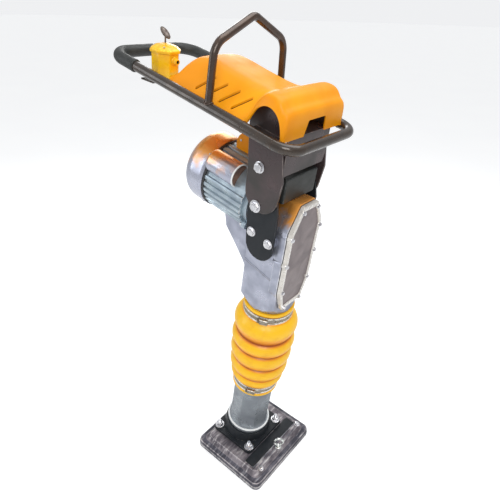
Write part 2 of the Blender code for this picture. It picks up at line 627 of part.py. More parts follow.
def build_crankcase():
    middle = (CASE_REAR + CASE_FRONT) / 2
    half = (CASE_FRONT - CASE_REAR) / 2
    neck = circle(0.0, 0.0, NECK_RADIUS, 24)
    shoulder = circle(0.0, 0.0, 0.0635, 24)
    square = rounded_rectangle(half, CASE_HALF_WIDTH, 0.008, 5, middle)
    top = rounded_rectangle(half - 0.003, CASE_HALF_WIDTH, 0.008, 5, middle)
    turn = 3
    sections = [at_height(neck[turn:] + neck[:turn], NECK_BOTTOM),
                at_height(neck[turn:] + neck[:turn], 0.6085),
                at_height(shoulder[turn:] + shoulder[:turn], 0.6100),
                at_height(square[turn:] + square[:turn], CASE_FLOOR),
                at_height(square[turn:] + square[:turn], CASE_ROOF - 0.003),
                at_height(top[turn:] + top[:turn], CASE_ROOF)]
    case = loft("crankcase", sections, "cast", LEG)
    along = (QUARTER, 0.0, QUARTER)
    outline = case_outline()[:6] + [(-0.065, 0.640), (-0.065, 0.550), (0.065, 0.550), (0.065, 0.640)]
    envelope = sheet("case_envelope", [outline], 0.200, None, LEG, rotation=along)
    combine(case, [envelope], "INTERSECT")
    bosses = []
    for side, sign in SIDES.items():
        for which, (x, z) in PLATE_BOLTS.items():
            length = BOSS_REACH - CASE_HALF_WIDTH + 0.004
            bosses.append(rod(f"boss_{which}_{side}", BOSS_RADIUS, length, None, LEG,
                              (x, sign * (BOSS_REACH - length / 2), z), (QUARTER, 0.0, 0.0), sides=20))
    bosses.append(rod("motor_seat", 0.0712, 0.012, None, MOTOR, (0.0, 0.0, MOTOR_SEAT - 0.006), sides=36))
    combine(case, bosses, "UNION")
    relief = rod("motor_relief", 0.0950, 0.060, None, MOTOR, (0.0, 0.0, MOTOR_SEAT + 0.030), sides=36)
    wall, roof = CASE_HALF_WIDTH - CASE_WALL, CASE_ROOF - CASE_WALL
    inner = [(wall, 0.660), (wall, 0.865), (0.0252, roof), (-0.0252, roof), (-wall, 0.865), (-wall, 0.660)]
    depth = CAVITY_FRONT - CAVITY_REAR
    cavity = sheet("case_cavity", [inner], depth, None, LEG, (CAVITY_FRONT - depth / 2, 0.0, 0.0), along)
    guide_bore = rod("guide_bore", GUIDE_OUTER + GAP, 0.130, None, LEG, (0.0, 0.0, 0.610), sides=32)
    motor_bore = rod("motor_bore", 0.0200, 0.030, None, MOTOR, (0.0, 0.0, 0.0560), sides=28)
    combine(case, [relief, cavity, guide_bore, motor_bore])
    bearing_boss = rod("bearing_boss", 0.0220, 0.015, None, CRANK, (0.0, 0.0, 0.0455), sides=28)
    combine(case, [bearing_boss], "UNION")
    bearing_seat = rod("bearing_seat", 0.0174, 0.0137, None, CRANK, (0.0, 0.0, 0.04315), sides=28)
    bolt_bores = []
    for side, sign in SIDES.items():
        for which, (x, z) in PLATE_BOLTS.items():
            bolt_bores.append(rod(f"bore_{which}_{side}", BOLT_SHANK + 0.0004, 0.013, None, LEG,
                                  (x, sign * (BOSS_REACH - 0.0045), z), (QUARTER, 0.0, 0.0), sides=20))
    combine(case, [bearing_seat] + bolt_bores)


def build_cover():
    along = (QUARTER, 0.0, QUARTER)
    low = CASE_FRONT + COVER_SEAT
    cover = sheet("crankcase_cover", [case_outline(0.0005)], COVER_THICKNESS, "cover", LEG,
                  (low + COVER_THICKNESS / 2, 0.0, 0.0), along)
    add_bevel(cover, 0.0015, 1)
    recess_outline = [(y * 0.80, 0.7785 + (z - 0.7785) * 0.90) for y, z in case_outline()]
    recess = sheet("cover_recess", [recess_outline], 0.010, None, LEG,
                   (low + COVER_THICKNESS + 0.005 - 0.0035, 0.0, 0.0), along)
    combine(cover, [recess])


def build_guide_tube():
    turned("guide_tube", ring_profile(GUIDE_OUTER, GUIDE_INNER, GUIDE_BOTTOM, GUIDE_TOP), "steel", LEG,
           closed=True, steps=32)


def build_buffer_block():
    block("buffer_block", (0.043, 0.120, 0.058), "rubber", LEG, (0.0065, 0.0, CASE_ROOF + GAP + 0.029),
          bevel=0.003)


# ---------------------------------------------------------------- side plates

def build_lower_plate(side, sign):
    outline = arc(-0.007, 0.811, 0.040, 180.0, 360.0, 10)
    outline += [(0.031, 0.905), (0.022, 0.940), (-0.052, 0.940), (-0.054, 0.900)]
    holes = [circle(x, z, BOLT_SHANK + 0.0004, 16) for x, z in PLATE_BOLTS.values()]
    holes.append(circle(PIVOT_X, PIVOT_Z, 0.0074, 24))
    sheet(f"lower_plate_{side}", [outline] + holes, PLATE_THICKNESS, "black", LEG,
          (0.0, sign * LOWER_PLATE_Y, 0.0), (QUARTER, 0.0, 0.0))
    for which, (x, z) in PLATE_BOLTS.items():
        seat = LOWER_PLATE_Y + PLATE_THICKNESS / 2 + GAP
        fastener(f"plate_bolt_{which}_{side}", LEG, (x, sign * seat, z), (-sign * QUARTER, 0.0, 0.0),
                 0.0095, 0.0045, BOLT_SHANK, 0.014)


def build_upper_plate(side, sign):
    outline = arc(0.010, 0.033, 0.045, 180.0, 360.0, 12)
    outline += [(0.060, 0.076)]
    outline += arc(-0.001, 0.176, 0.043, 0.0, 180.0, 12)
    outline += [(-0.035, 0.076)]
    holes = [circle(0.0, 0.0, 0.0074, 24), circle(BRACKET_BOLT_X, BRACKET_BOLT_Z, 0.0064, 20)]
    plate = sheet(f"upper_plate_{side}", [outline] + holes, PLATE_THICKNESS, "plate", PIVOT,
                  (0.0, sign * UPPER_PLATE_Y, 0.0), (QUARTER, 0.0, 0.0))
    ear_out = HANDLE_WIDTH / 2 - TUBE_RADIUS - GAP
    ear_in = UPPER_PLATE_Y - 0.001
    ear = block(f"plate_ear_{side}", (0.066, ear_out - ear_in, 0.006), None, HANDLE,
                (0.196, sign * (ear_out + ear_in) / 2, -0.004))
    combine(plate, [ear], "UNION")
    seat = UPPER_PLATE_Y + PLATE_THICKNESS / 2 + GAP
    fastener(f"pivot_bolt_{side}", PIVOT, (0.0, sign * seat, 0.0), (-sign * QUARTER, 0.0, 0.0),
             0.0110, 0.0060, 0.0070, 0.0205, washer=0.002)


def build_bracket_bolt():
    seat = UPPER_PLATE_Y + PLATE_THICKNESS / 2 + GAP
    body = rod("bracket_bolt", 0.0060, 2 * seat + 0.006, "steel", PIVOT,
               (BRACKET_BOLT_X, 0.0, BRACKET_BOLT_Z), (QUARTER, 0.0, 0.0), sides=16)
    heads = []
    for side, sign in SIDES.items():
        spot = (BRACKET_BOLT_X, sign * (seat + 0.00375), BRACKET_BOLT_Z)
        heads.append(rod(f"bracket_bolt_head_{side}", 0.0110, 0.0075, None, PIVOT, spot,
                         (QUARTER, 0.0, 0.0), sides=6))
    combine(body, heads, "UNION")


def build_cross_channel():
    """U channel between the upper plates: a web on top, a tall lip in front and a low one behind."""
    half_width = UPPER_PLATE_Y - PLATE_THICKNESS / 2 - GAP
    web_high, wall = 0.168, 0.005
    front, rear, front_low, rear_low = 0.054, -0.034, 0.087, 0.140
    outline = [(front, front_low), (front, web_high), (rear, web_high), (rear, rear_low),
               (rear + wall, rear_low), (rear + wall, web_high - wall), (front - wall, web_high - wall),
               (front - wall, front_low)]
    sheet("cross_channel", [outline], 2 * half_width, "plate", PIVOT, rotation=(QUARTER, 0.0, 0.0))


# ---------------------------------------------------------------- motor

def fin_outline():
    """Tapered fins round the housing, each given as root, tip, tip and root."""
    points = []
    pitch = 2.0 * math.pi / FIN_COUNT
    for fin in range(FIN_COUNT):
        for share, radius in ((-0.22, MOTOR_RADIUS), (-0.13, FIN_TIP), (0.13, FIN_TIP), (0.22, MOTOR_RADIUS)):
            angle = pitch * (fin + share)
            points.append((radius * math.cos(angle), radius * math.sin(angle)))
    return points


def build_motor():
    flange_front = MOTOR_SEAT + GAP
    flange = turned("motor_flange", ring_profile(0.0760, 0.0200, flange_front, MOTOR_FLANGE_REAR), "cast",
                    MOTOR, closed=True, steps=36)
    lugs = []
    for quarter in range(4):
        angle = math.radians(45.0 + 90.0 * quarter)
        spot = (LUG_REACH * math.cos(angle), LUG_REACH * math.sin(angle),
                (MOTOR_FLANGE_REAR + flange_front) / 2)
        lugs.append(rod(f"flange_lug_{quarter}", LUG_RADIUS, MOTOR_FLANGE_REAR - flange_front, None, MOTOR,
                        spot, sides=14))
    combine(flange, lugs, "UNION")
    housing_front = MOTOR_FLANGE_REAR + GAP
    length = MOTOR_HOUSING_REAR - housing_front
    loops = [fin_outline(), circle(0.0, 0.0, STATOR_OUTER + GAP * 2, 36)]
    sheet("motor_housing", loops, length, "cast", MOTOR, (0.0, 0.0, (MOTOR_HOUSING_REAR + housing_front) / 2))
    turned("stator_core", ring_profile(STATOR_OUTER, STATOR_BORE, 0.090, 0.183), "dark_steel", MOTOR,
           closed=True, steps=36)
    turned("motor_bearing", ring_profile(0.0194, SHAFT_RADIUS + 0.0004, 0.0530, 0.0620), "bronze", MOTOR,
           closed=True, steps=28)
    build_fan_cover()


def build_fan_cover():
    front, bend = MOTOR_HOUSING_REAR + 0.0015, 0.238
    profile = [(0.0, FAN_COVER_REAR), (0.030, FAN_COVER_REAR - 0.001)]
    flat = 0.052
    reach, depth = FAN_COVER_RADIUS - flat, FAN_COVER_REAR - 0.006 - bend
    for step in range(6):
        angle = math.radians(80.0 - 80.0 * step / 5)
        profile.append((flat + reach * math.cos(angle), bend + depth * math.sin(angle)))
    profile.append((FAN_COVER_RADIUS, front))
    turned("fan_cover", profile, "cast", MOTOR, steps=28, wall=0.0022)


def build_motor_fittings():
    keep_clear = rod("motor_envelope", FIN_TIP + 2 * GAP, 0.320, None, MOTOR, (0.0, 0.0, 0.150), sides=48)
    spot = (CAPACITOR_REACH * math.sin(CAPACITOR_ANGLE), -CAPACITOR_REACH * math.cos(CAPACITOR_ANGLE),
            (CAPACITOR_FRONT + CAPACITOR_REAR) / 2)
    length = CAPACITOR_REAR - CAPACITOR_FRONT
    capacitor = rod("capacitor_cover", CAPACITOR_RADIUS, length, "cast", MOTOR, spot)
    add_bevel(capacitor, 0.003, 2)
    combine(capacitor, [keep_clear])
    arch = arc(0.0, 0.0, 0.028, 0.0, 180.0, 10) + [(-0.028, -0.060), (0.028, -0.060)]
    box = sheet("terminal_box", [arch], TERMINAL_WIDTH, "orange", LEG,
                (TERMINAL_X, TERMINAL_Y, TERMINAL_Z), (QUARTER, 0.0, 0.0))
    add_bevel(box, 0.003, 2, 50.0)
    combine(box, [keep_clear])
    rear = CASE_REAR - GAP
    web = [(rear, 0.688), (rear, 0.834), (-0.120, 0.834), (-0.150, 0.826), (-0.142, 0.788), (-0.106, 0.750),
           (-0.076, 0.716)]
    support = sheet("motor_support", [web], 0.084, "cast", LEG, rotation=(QUARTER, 0.0, 0.0))
    flange_clear = rod("flange_envelope", 0.0933, 0.0300, None, MOTOR, (0.0, 0.0, 0.0603), sides=48)
    combine(support, [keep_clear, flange_clear])


# ---------------------------------------------------------------- handle

def handle_path(steps=5):
    half_y = HANDLE_WIDTH / 2
    corners = [(HANDLE_FRONT, -half_y, 0.0), (HANDLE_FRONT, half_y, 0.0),
               (HANDLE_REAR, half_y, 0.0), (HANDLE_REAR, -half_y, 0.0)]
    radii = [HANDLE_FRONT_CORNER, HANDLE_FRONT_CORNER, HANDLE_REAR_CORNER, HANDLE_REAR_CORNER]
    return fillet(corners, radii, steps, cyclic=True)


def build_handle_tube():
    tube("handle_tube", handle_path(), TUBE_RADIUS, "tube", HANDLE, cyclic=True)


def build_grip():
    half_y = HANDLE_WIDTH / 2
    points = [(GRIP_START, half_y, 0.0), (HANDLE_REAR, half_y, 0.0),
              (HANDLE_REAR, -half_y, 0.0), (GRIP_START, -half_y, 0.0)]
    curve = path_curve("grip_sleeve", fillet(points, HANDLE_REAR_CORNER, 5), TUBE_RADIUS + 0.0005,
                       resolution=3, caps=False)
    sleeve = solid_from_curve("grip_sleeve", curve, "rubber", HANDLE, (0.0, 0.0, 0.0), (0.0, 0.0, 0.0))
    add_solidify(sleeve, GRIP_WALL, 1.0)
    smooth(sleeve)


def build_hoop():
    half_y = HANDLE_WIDTH / 2
    foot = TUBE_RADIUS + 0.0025
    corners = [(-half_y, foot), (0.010 - half_y, HOOP_SHOULDER), (0.0, HOOP_APEX),
               (half_y - 0.010, HOOP_SHOULDER), (half_y, foot)]
    points = [(HOOP_X + HOOP_LEAN * z, y, z) for y, z in corners]
    tube("lifting_hoop", fillet(points, [0.0, 0.040, 0.022, 0.040, 0.0], 5), HOOP_RADIUS, "tube", HANDLE)


def hood_rows():
    """Rows from the rear tip to the front edge: half width, edge point and crown point."""
    low = HOOD_EDGE_Z
    rows = [(0.054, (-0.114, -0.002), (-0.114, 0.002)), (0.080, (-0.102, 0.000), (-0.104, 0.008)),
            (0.101, (-0.082, 0.001), (-0.088, 0.020)), (0.107, (-0.066, low), (-0.072, 0.042)),
            (0.1083, (-0.046, low), (-0.051, 0.059)), (HOOD_HALF_WIDTH, (-0.022, low), (-0.022, 0.067))]
    for x, crown in ((0.015, 0.0675), (0.053, 0.065), (0.091, 0.063), (0.129, 0.062)):
        rows.append((HOOD_HALF_WIDTH, (x, low), (x, crown)))
    rows.append((HOOD_HALF_WIDTH, (0.152, low), (0.150, 0.063)))
    steps = 8
    for step in range(1, steps):
        share = step / steps
        angle = math.pi * (1.0 - share)
        edge = (HOOD_ARCH_X + HOOD_ARCH_HALF * math.cos(angle), low + HOOD_ARCH_RISE * math.sin(angle))
        crown_x = 0.150 + 0.090 * share
        swell = min(share / 0.40, 1.0)
        crown_z = 0.063 + 0.015 * swell ** 2 - 0.014 * max(share - 0.70, 0.0) / 0.18
        rows.append((HOOD_HALF_WIDTH, edge, (crown_x, crown_z)))
    rows.append((HOOD_HALF_WIDTH, (0.2430, 0.004), (0.2435, 0.050)))
    rows.append((HOOD_HALF_WIDTH, (0.2490, 0.003), (0.2490, 0.004)))
    return rows


def build_hood():
    columns = [-1.0, -0.95, -0.80, -0.63, -0.46, 0.0, 0.46, 0.63, 0.80, 0.95, 1.0]
    rise = {0.0: 1.0, 0.46: 0.96, 0.63: 0.76, 0.80: 0.42, 0.95: 0.10, 1.0: 0.0}
    front_rise = {0.0: 1.0, 0.46: 1.0, 0.63: 0.99, 0.80: 0.97, 0.95: 0.80, 1.0: 0.0}
    shape = bmesh.new()
    rings = []
    for half_width, (edge_x, edge_z), (crown_x, crown_z) in hood_rows():
        forward = min(max((crown_x - 0.140) / 0.045, 0.0), 1.0)
        ring = []
        for column in columns:
            share = rise[abs(column)] * (1.0 - forward) + front_rise[abs(column)] * forward
            ring.append(shape.verts.new((edge_x + (crown_x - edge_x) * share, half_width * column,
                                         edge_z + (crown_z - edge_z) * share)))
        rings.append(ring)
    for low, high in zip(rings[:-1], rings[1:]):
        for index in range(len(columns) - 1):
            shape.faces.new((low[index], high[index], high[index + 1], low[index + 1]))
    mesh = bpy.data.meshes.new("hood")
    bmesh.ops.recalc_face_normals(shape, faces=shape.faces)
    if sum(face.normal.z for face in shape.faces) < 0.0:
        bmesh.ops.reverse_faces(shape, faces=shape.faces)
    shape.to_mesh(mesh)
    shape.free()
    hood = place("hood", mesh, "orange", HANDLE)
    add_solidify(hood, HOOD_WALL)
    notch = [(-NOTCH_LOW_HALF, 0.0), (NOTCH_LOW_HALF, 0.0), (NOTCH_HIGH_HALF, NOTCH_TOP),
             (-NOTCH_HIGH_HALF, NOTCH_TOP)]
    cutters = [sheet("hood_notch", [notch], 0.060, None, HANDLE, (0.250, 0.0, 0.0), (QUARTER, 0.0, QUARTER))]
    for side, sign in SIDES.items():
        for slot in range(4):
            spot = (LOUVRE_START + LOUVRE_PITCH * slot, sign * LOUVRE_Y, LOUVRE_Z)
            cutters.append(block(f"louvre_{slot}_{side}", (0.041, 0.005, 0.050), None, HANDLE, spot,
                                 (0.0, 0.0, -sign * LOUVRE_TURN)))
    combine(hood, cutters)


def octagon(radius, height):
    return at_height(arc(0.0, 0.0, radius, 22.5, 337.5, 7), height)


def build_switch_box():
    sections = [octagon(BOX_RADIUS - 0.0005, BOX_LOW), octagon(BOX_RADIUS, BOX_HIGH)]
    loft("switch_box", sections, "yellow", SWITCH)
    lid = [octagon(0.0365, BOX_HIGH + GAP), octagon(0.0368, 0.0405), octagon(0.0290, 0.0480),
           octagon(0.0120, LID_TOP)]
    loft("switch_lid", lid, "yellow", SWITCH)
    stem = rod("switch_lever", 0.0026, 0.018, "steel", SWITCH, (0.0, 0.0, LID_TOP + GAP + 0.009), sides=12)
    leaf = bmesh.new()
    bmesh.ops.create_uvsphere(leaf, u_segments=16, v_segments=8, radius=1.0)
    bmesh.ops.scale(leaf, vec=Vector((0.019, 0.0030, 0.0085)), verts=leaf.verts)
    wing = place("lever_wing", finish_bmesh(leaf, "lever_wing"), None, SWITCH, (0.0, 0.0, 0.0740),
                 (0.0, math.radians(25.0), 0.0))
    combine(stem, [wing], "UNION")
    face_x = BOX_RADIUS * math.cos(math.radians(22.5)) + 0.0005
    turned("power_inlet", [(0.0035, 0.013), (0.0065, 0.012), (0.0065, 0.003), (0.0090, 0.003), (0.0090, 0.0),
                           (0.0, 0.0), (0.0, 0.005), (0.0035, 0.005)], "yellow", SWITCH,
           (face_x, 0.0, 0.0200), (0.0, QUARTER, 0.0), steps=16, closed=True)


def build_switch_bracket():
    outer = -(HANDLE_WIDTH / 2 - TUBE_RADIUS - GAP)
    inner = BOX_Y + 0.026
    size = (0.044, inner - outer, 0.004)
    block("switch_bracket", size, "tube", SWITCH, (0.0, (inner + outer) / 2 - BOX_Y, BOX_LOW - GAP - 0.002),
          bevel=0.001)


def build_power_cable():
    points = [(-0.1180, BOX_Y, -0.0130), (-0.070, BOX_Y, -0.018), (0.020, -0.030, -0.020),
              (0.085, 0.012, -0.030), (0.104, 0.012, -0.052)]
    tube("power_cable", fillet(points, 0.020, 3), 0.0040, "rubber", HANDLE, resolution=2)


# ---------------------------------------------------------------- assembly

def build():
    build_foot()
    build_flange()
    build_eye_bolt()
    build_leg()
    build_bellows()
    build_clamp("lower_clamp", LOWER_CLAMP_Z)
    build_clamp("upper_clamp", UPPER_CLAMP_Z)
    build_spring_column()
    build_plunger()
    build_connecting_rod()
    build_crank()
    build_rotor()
    build_crankcase()
    build_cover()
    build_guide_tube()
    build_buffer_block()
    for side, sign in SIDES.items():
        build_lower_plate(side, sign)
        build_upper_plate(side, sign)
    build_bracket_bolt()
    build_cross_channel()
    build_motor()
    build_motor_fittings()
    build_handle_tube()
    build_grip()
    build_hoop()
    build_hood()
    build_switch_box()
    build_switch_bracket()
    build_power_cable()


build()
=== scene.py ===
"""Looks of the electric jumping jack rammer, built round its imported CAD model.

The CAD nodes give every place and size. This script adds smooth shells, soft parts, small
hardware and procedural finishes, each riding on the CAD body it belongs to. Lengths are metres.
"""

import json
from math import cos, exp, pi, radians, sin, sqrt, tan

import bmesh
import bpy
from mathutils import Matrix, Vector, noise
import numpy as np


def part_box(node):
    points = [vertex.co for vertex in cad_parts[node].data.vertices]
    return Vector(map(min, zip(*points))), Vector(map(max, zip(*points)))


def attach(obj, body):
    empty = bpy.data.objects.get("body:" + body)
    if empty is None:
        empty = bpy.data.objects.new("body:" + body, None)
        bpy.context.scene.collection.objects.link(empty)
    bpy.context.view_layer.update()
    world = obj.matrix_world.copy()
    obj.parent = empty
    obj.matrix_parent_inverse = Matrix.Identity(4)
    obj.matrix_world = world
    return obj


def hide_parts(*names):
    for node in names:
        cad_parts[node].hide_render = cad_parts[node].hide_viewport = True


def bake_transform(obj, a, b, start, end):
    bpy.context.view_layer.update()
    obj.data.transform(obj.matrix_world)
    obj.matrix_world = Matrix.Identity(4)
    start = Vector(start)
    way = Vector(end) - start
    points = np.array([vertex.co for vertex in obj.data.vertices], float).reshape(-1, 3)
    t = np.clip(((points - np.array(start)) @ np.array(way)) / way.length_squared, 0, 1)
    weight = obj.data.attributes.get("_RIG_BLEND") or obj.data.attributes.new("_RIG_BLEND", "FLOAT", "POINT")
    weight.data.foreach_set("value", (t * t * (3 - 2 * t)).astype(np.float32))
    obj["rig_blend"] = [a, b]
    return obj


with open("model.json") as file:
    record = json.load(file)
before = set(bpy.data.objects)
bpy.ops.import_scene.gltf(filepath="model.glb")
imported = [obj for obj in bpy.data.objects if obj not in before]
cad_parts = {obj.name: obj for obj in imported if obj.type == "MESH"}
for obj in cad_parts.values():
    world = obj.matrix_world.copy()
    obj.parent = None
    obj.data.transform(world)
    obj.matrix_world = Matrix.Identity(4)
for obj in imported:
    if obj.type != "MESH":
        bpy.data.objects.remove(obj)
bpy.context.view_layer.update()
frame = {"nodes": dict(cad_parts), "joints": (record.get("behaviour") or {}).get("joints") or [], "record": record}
NODES = frame["nodes"]
JOINTS = {joint["name"]: joint for joint in frame["joints"]}
SLOTS = {part["node"]: part["material_slot"] for part in frame["record"]["subparts"]}
SIDES = {"near": -1.0, "far": 1.0}
ACROSS = Vector((0.0, 1.0, 0.0))
UP = (0.0, 0.0, 1.0)
HERE = Matrix.Identity(4)
QUARTER = radians(90.0)


# ---------------------------------------------------------------- frames taken from the joints

def shift(x, y, z):
    return Matrix.Translation((x, y, z))


def turned(angle, axis="Z"):
    return Matrix.Rotation(angle, 4, axis)


def axes_at(origin, up):
    """A frame with Z along up, Y across the machine and X making it right-handed."""
    up = Vector(up).normalized()
    ahead = ACROSS.cross(up)
    return Matrix.Translation(origin) @ Matrix((ahead, ACROSS, up)).transposed().to_4x4()


HANDLE_PITCH = 0.123
SWITCH_X = -0.152
LEG_UP = Vector(JOINTS["jump_slide"]["axis"])
CRANK_AT = Vector(JOINTS["crank_spin"]["pos_m"])
LEG = axes_at(CRANK_AT - LEG_UP * (CRANK_AT.z / LEG_UP.z), LEG_UP)
PIVOT = axes_at(JOINTS["handle_rock"]["pos_m"], LEG_UP)
MOTOR = axes_at(JOINTS["rotor_spin"]["pos_m"], JOINTS["rotor_spin"]["axis"])
SWITCH = axes_at(JOINTS["switch_turn"]["pos_m"], JOINTS["switch_turn"]["axis"])
HANDLE = LEG.to_3x3().to_4x4() @ turned(HANDLE_PITCH, "Y")
SWITCH_FOOT = Vector((SWITCH.translation.x, 0.0, SWITCH.translation.z))
HANDLE = Matrix.Translation(SWITCH_FOOT - HANDLE.to_3x3() @ Vector((SWITCH_X, 0.0, 0.0))) @ HANDLE
FACE = turned(QUARTER) @ turned(QUARTER, "X")
SIDE = turned(QUARTER, "X")


def up_leg(height):
    return LEG @ Vector((0.0, 0.0, height))


def span(node, axes):
    """Lowest and highest corner of a CAD node, measured in a frame."""
    back = axes.inverted()
    points = [back @ vertex.co for vertex in NODES[node].data.vertices]
    low = Vector([min(point[i] for point in points) for i in range(3)])
    high = Vector([max(point[i] for point in points) for i in range(3)])
    return low, high


# ---------------------------------------------------------------- mesh helpers

def skin(rings, around=True, along=False, caps=False, shape=None, paint=None):
    """Faces between rings of equally many points; paint gives each band's material index."""
    shape = shape or bmesh.new()
    rows = [[shape.verts.new(point) for point in ring] for ring in rings]
    pairs = list(zip(rows[:-1], rows[1:]))
    if along:
        pairs.append((rows[-1], rows[0]))
    for band, (low, high) in enumerate(pairs):
        count = len(low)
        for index in range(count if around else count - 1):
            after = (index + 1) % count
            face = shape.faces.new((low[index], low[after], high[after], high[index]))
            face.material_index = paint[band] if paint else 0
    if caps:
        shape.faces.new(rows[0][::-1])
        shape.faces.new(rows[-1])
    return shape


def to_mesh(shape, name, sharp=32.0, closed=True):
    bmesh.ops.remove_doubles(shape, verts=shape.verts, dist=0.000002)
    if closed:
        bmesh.ops.recalc_face_normals(shape, faces=shape.faces)
    mesh = bpy.data.meshes.new(name)
    shape.to_mesh(mesh)
    shape.free()
    mesh.shade_smooth()
    mesh.set_sharp_from_angle(angle=radians(sharp))
    return mesh


def eased(share):
    """From 0 to 1 with a soft start and end."""
    share = min(max(share, 0.0), 1.0)
    return share * share * (3.0 - 2.0 * share)


def arc(centre_x, centre_y, radius, start, end, steps):
    points = []
    for step in range(steps + 1):
        angle = radians(start + (end - start) * step / steps)
        points.append((centre_x + radius * cos(angle), centre_y + radius * sin(angle)))
    return points


def circle(radius, steps):
    return arc(0.0, 0.0, radius, 0.0, 360.0, steps)[:-1]


def turns_of(count):
    """Angles of equal steps, once round."""
    return [2.0 * pi * step / count for step in range(count)]


def box_outline(low_x, high_x, low_y, high_y, corner, steps=6):
    return rounded([(low_x, low_y), (high_x, low_y), (high_x, high_y), (low_x, high_y)], corner, steps)


def rounded(points, radius, steps=4, closed=True):
    """Round the corners of a polyline with arcs; radius is one number or one for each corner."""
    points = [Vector(point) for point in points]
    result = []
    for index, corner in enumerate(points):
        size = radius[index] if isinstance(radius, (list, tuple)) else radius
        if size <= 0.0 or (not closed and index in (0, len(points) - 1)):
            result.append(corner)
            continue
        before = (points[index - 1] - corner).normalized()
        after = (points[(index + 1) % len(points)] - corner).normalized()
        half = before.angle(after) / 2.0
        if half > radians(88.0):
            result.append(corner)
            continue
        centre = corner + (before + after).normalized() * size / sin(half)
        start = corner + before * size / tan(half) - centre
        end = corner + after * size / tan(half) - centre
        sweep_angle = start.angle(end)
        for step in range(steps + 1):
            share = step / steps
            blended = start * sin((1.0 - share) * sweep_angle) + end * sin(share * sweep_angle)
            result.append(centre + blended / sin(sweep_angle))
    return result


def resampled(path, spacing, closed=False):
    """The same polyline with extra points along its straight runs."""
    points = [Vector(point) for point in path]
    if closed:
        points.append(points[0])
    result = []
    for here, there in zip(points[:-1], points[1:]):
        count = max(1, round((there - here).length / spacing))
        result += [here.lerp(there, step / count) for step in range(count)]
    return result if closed else result + [points[-1]]


def inset(outline, distance):
    """Move a closed counter-clockwise outline inwards."""
    points = [Vector(point).to_2d() for point in outline]
    moved = []
    for index, point in enumerate(points):
        before = (point - points[index - 1]).normalized()
        after = (points[(index + 1) % len(points)] - point).normalized()
        normal = Vector((-(before + after).y, (before + after).x)).normalized()
        stretch = max(normal.dot(Vector((-before.y, before.x))), 0.5)
        moved.append(point + normal * distance / stretch)
    return moved


def raised(outline, height, at=HERE):
    return [at @ Vector((point[0], point[1], height)) for point in outline]


def slab(outline, low, high, edge=0.001, shape=None, at=HERE):
    """A plate with rounded edges, from an outline in the frame's XY plane."""
    turns = [QUARTER * step / 3 for step in range(4)]
    levels = [(turn, low + edge * (1.0 - cos(turn))) for turn in turns]
    levels += [(turn, high - edge * (1.0 - cos(turn))) for turn in reversed(turns)]
    rings = [raised(inset(outline, edge * (1.0 - sin(turn))), level, at) for turn, level in levels]
    return skin(rings, caps=True, shape=shape, paint=[1, 1, 1, 0, 1, 1, 1])


def revolve(profile, steps=72, shape=None, at=HERE, closed=False, paint=None):
    """Turn (radius, height) points about the frame's Z axis."""
    rings = []
    for radius, height in profile:
        rings.append(raised(circle(radius, steps) if radius else [(0.0, 0.0)] * steps, height, at))
    return skin(rings, along=closed, shape=shape, paint=paint)


def turned_ring(inner, outer, low, high, edge=0.0006, steps=72, shape=None, at=HERE):
    profile = rounded([(inner, low), (outer, low), (outer, high), (inner, high)], edge, 2)
    return revolve(profile, steps, shape, at, closed=True)


def torus(radius, wire, shape=None, at=HERE, steps=48, sides=12):
    return revolve([(radius + x, y) for x, y in circle(wire, sides)], steps, shape, at, closed=True)


def sweep(path, radius, up, closed=False, sides=28, shape=None):
    """A round bar along a path; radius is a number or a function of the share along the path."""
    path = [Vector(point) for point in path]
    up = Vector(up)
    rings = []
    for index, point in enumerate(path):
        before = path[index - 1] if closed or index else point
        after = path[(index + 1) % len(path)] if closed or index < len(path) - 1 else point
        along = (after - before).normalized()
        side = along.cross(up).normalized()
        rise = side.cross(along)
        reach = radius(index / (len(path) - 1)) if callable(radius) else radius
        rings.append([point + side * reach * cos(turn) + rise * reach * sin(turn)
                      for turn in turns_of(sides)])
    return skin(rings, along=closed, caps=not closed, shape=shape)


def smooth_path(points, steps=8):
    """Catmull-Rom curve through points."""
    points = [Vector(point) for point in points]
    padded = [points[0] * 2 - points[1]] + points + [points[-1] * 2 - points[-2]]
    result = []
    for index in range(1, len(padded) - 2):
        a, b, c, d = padded[index - 1:index + 3]
        for step in range(steps):
            t = step / steps
            result.append(0.5 * (2 * b + (c - a) * t + (2 * a - 5 * b + 4 * c - d) * t * t
                                 + (3 * b - a - 3 * c + d) * t ** 3))
    return result + [points[-1]]


def hex_head(corner, height, shape=None, at=HERE):
    """A hexagon head or nut with its corners chamfered as if turned."""
    flat = corner * cos(radians(30.0))
    rings = [[], [], [], []]
    for step in range(36):
        angle = radians(10.0 * step)
        reach = flat / cos(radians((10.0 * step) % 60.0 - 30.0))
        side_top = height * 0.97 - (reach - flat) * 0.6
        levels = (reach, 0.0), (reach, side_top), (flat * 0.93, height), (flat * 0.55, height * 1.02)
        for ring, (radius, level) in zip(rings, levels):
            ring.append(at @ Vector((radius * cos(angle), radius * sin(angle), level)))
    return skin(rings, caps=True, shape=shape, paint=[0, 1, 0])


THREAD_PITCH = 0.0016


def thread(radius, low, high, shape, at):
    """A threaded stud end with a chamfered tip."""
    profile = [(0.0, low), (radius, low)]
    for turn in range(int((high - low) / THREAD_PITCH)):
        level = low + turn * THREAD_PITCH
        profile += [(radius, level + THREAD_PITCH * 0.1), (radius * 0.86, level + THREAD_PITCH * 0.6)]
    profile += [(radius * 0.9, high - 0.0006), (radius * 0.75, high), (0.0, high)]
    return revolve(profile, 20, shape, at)


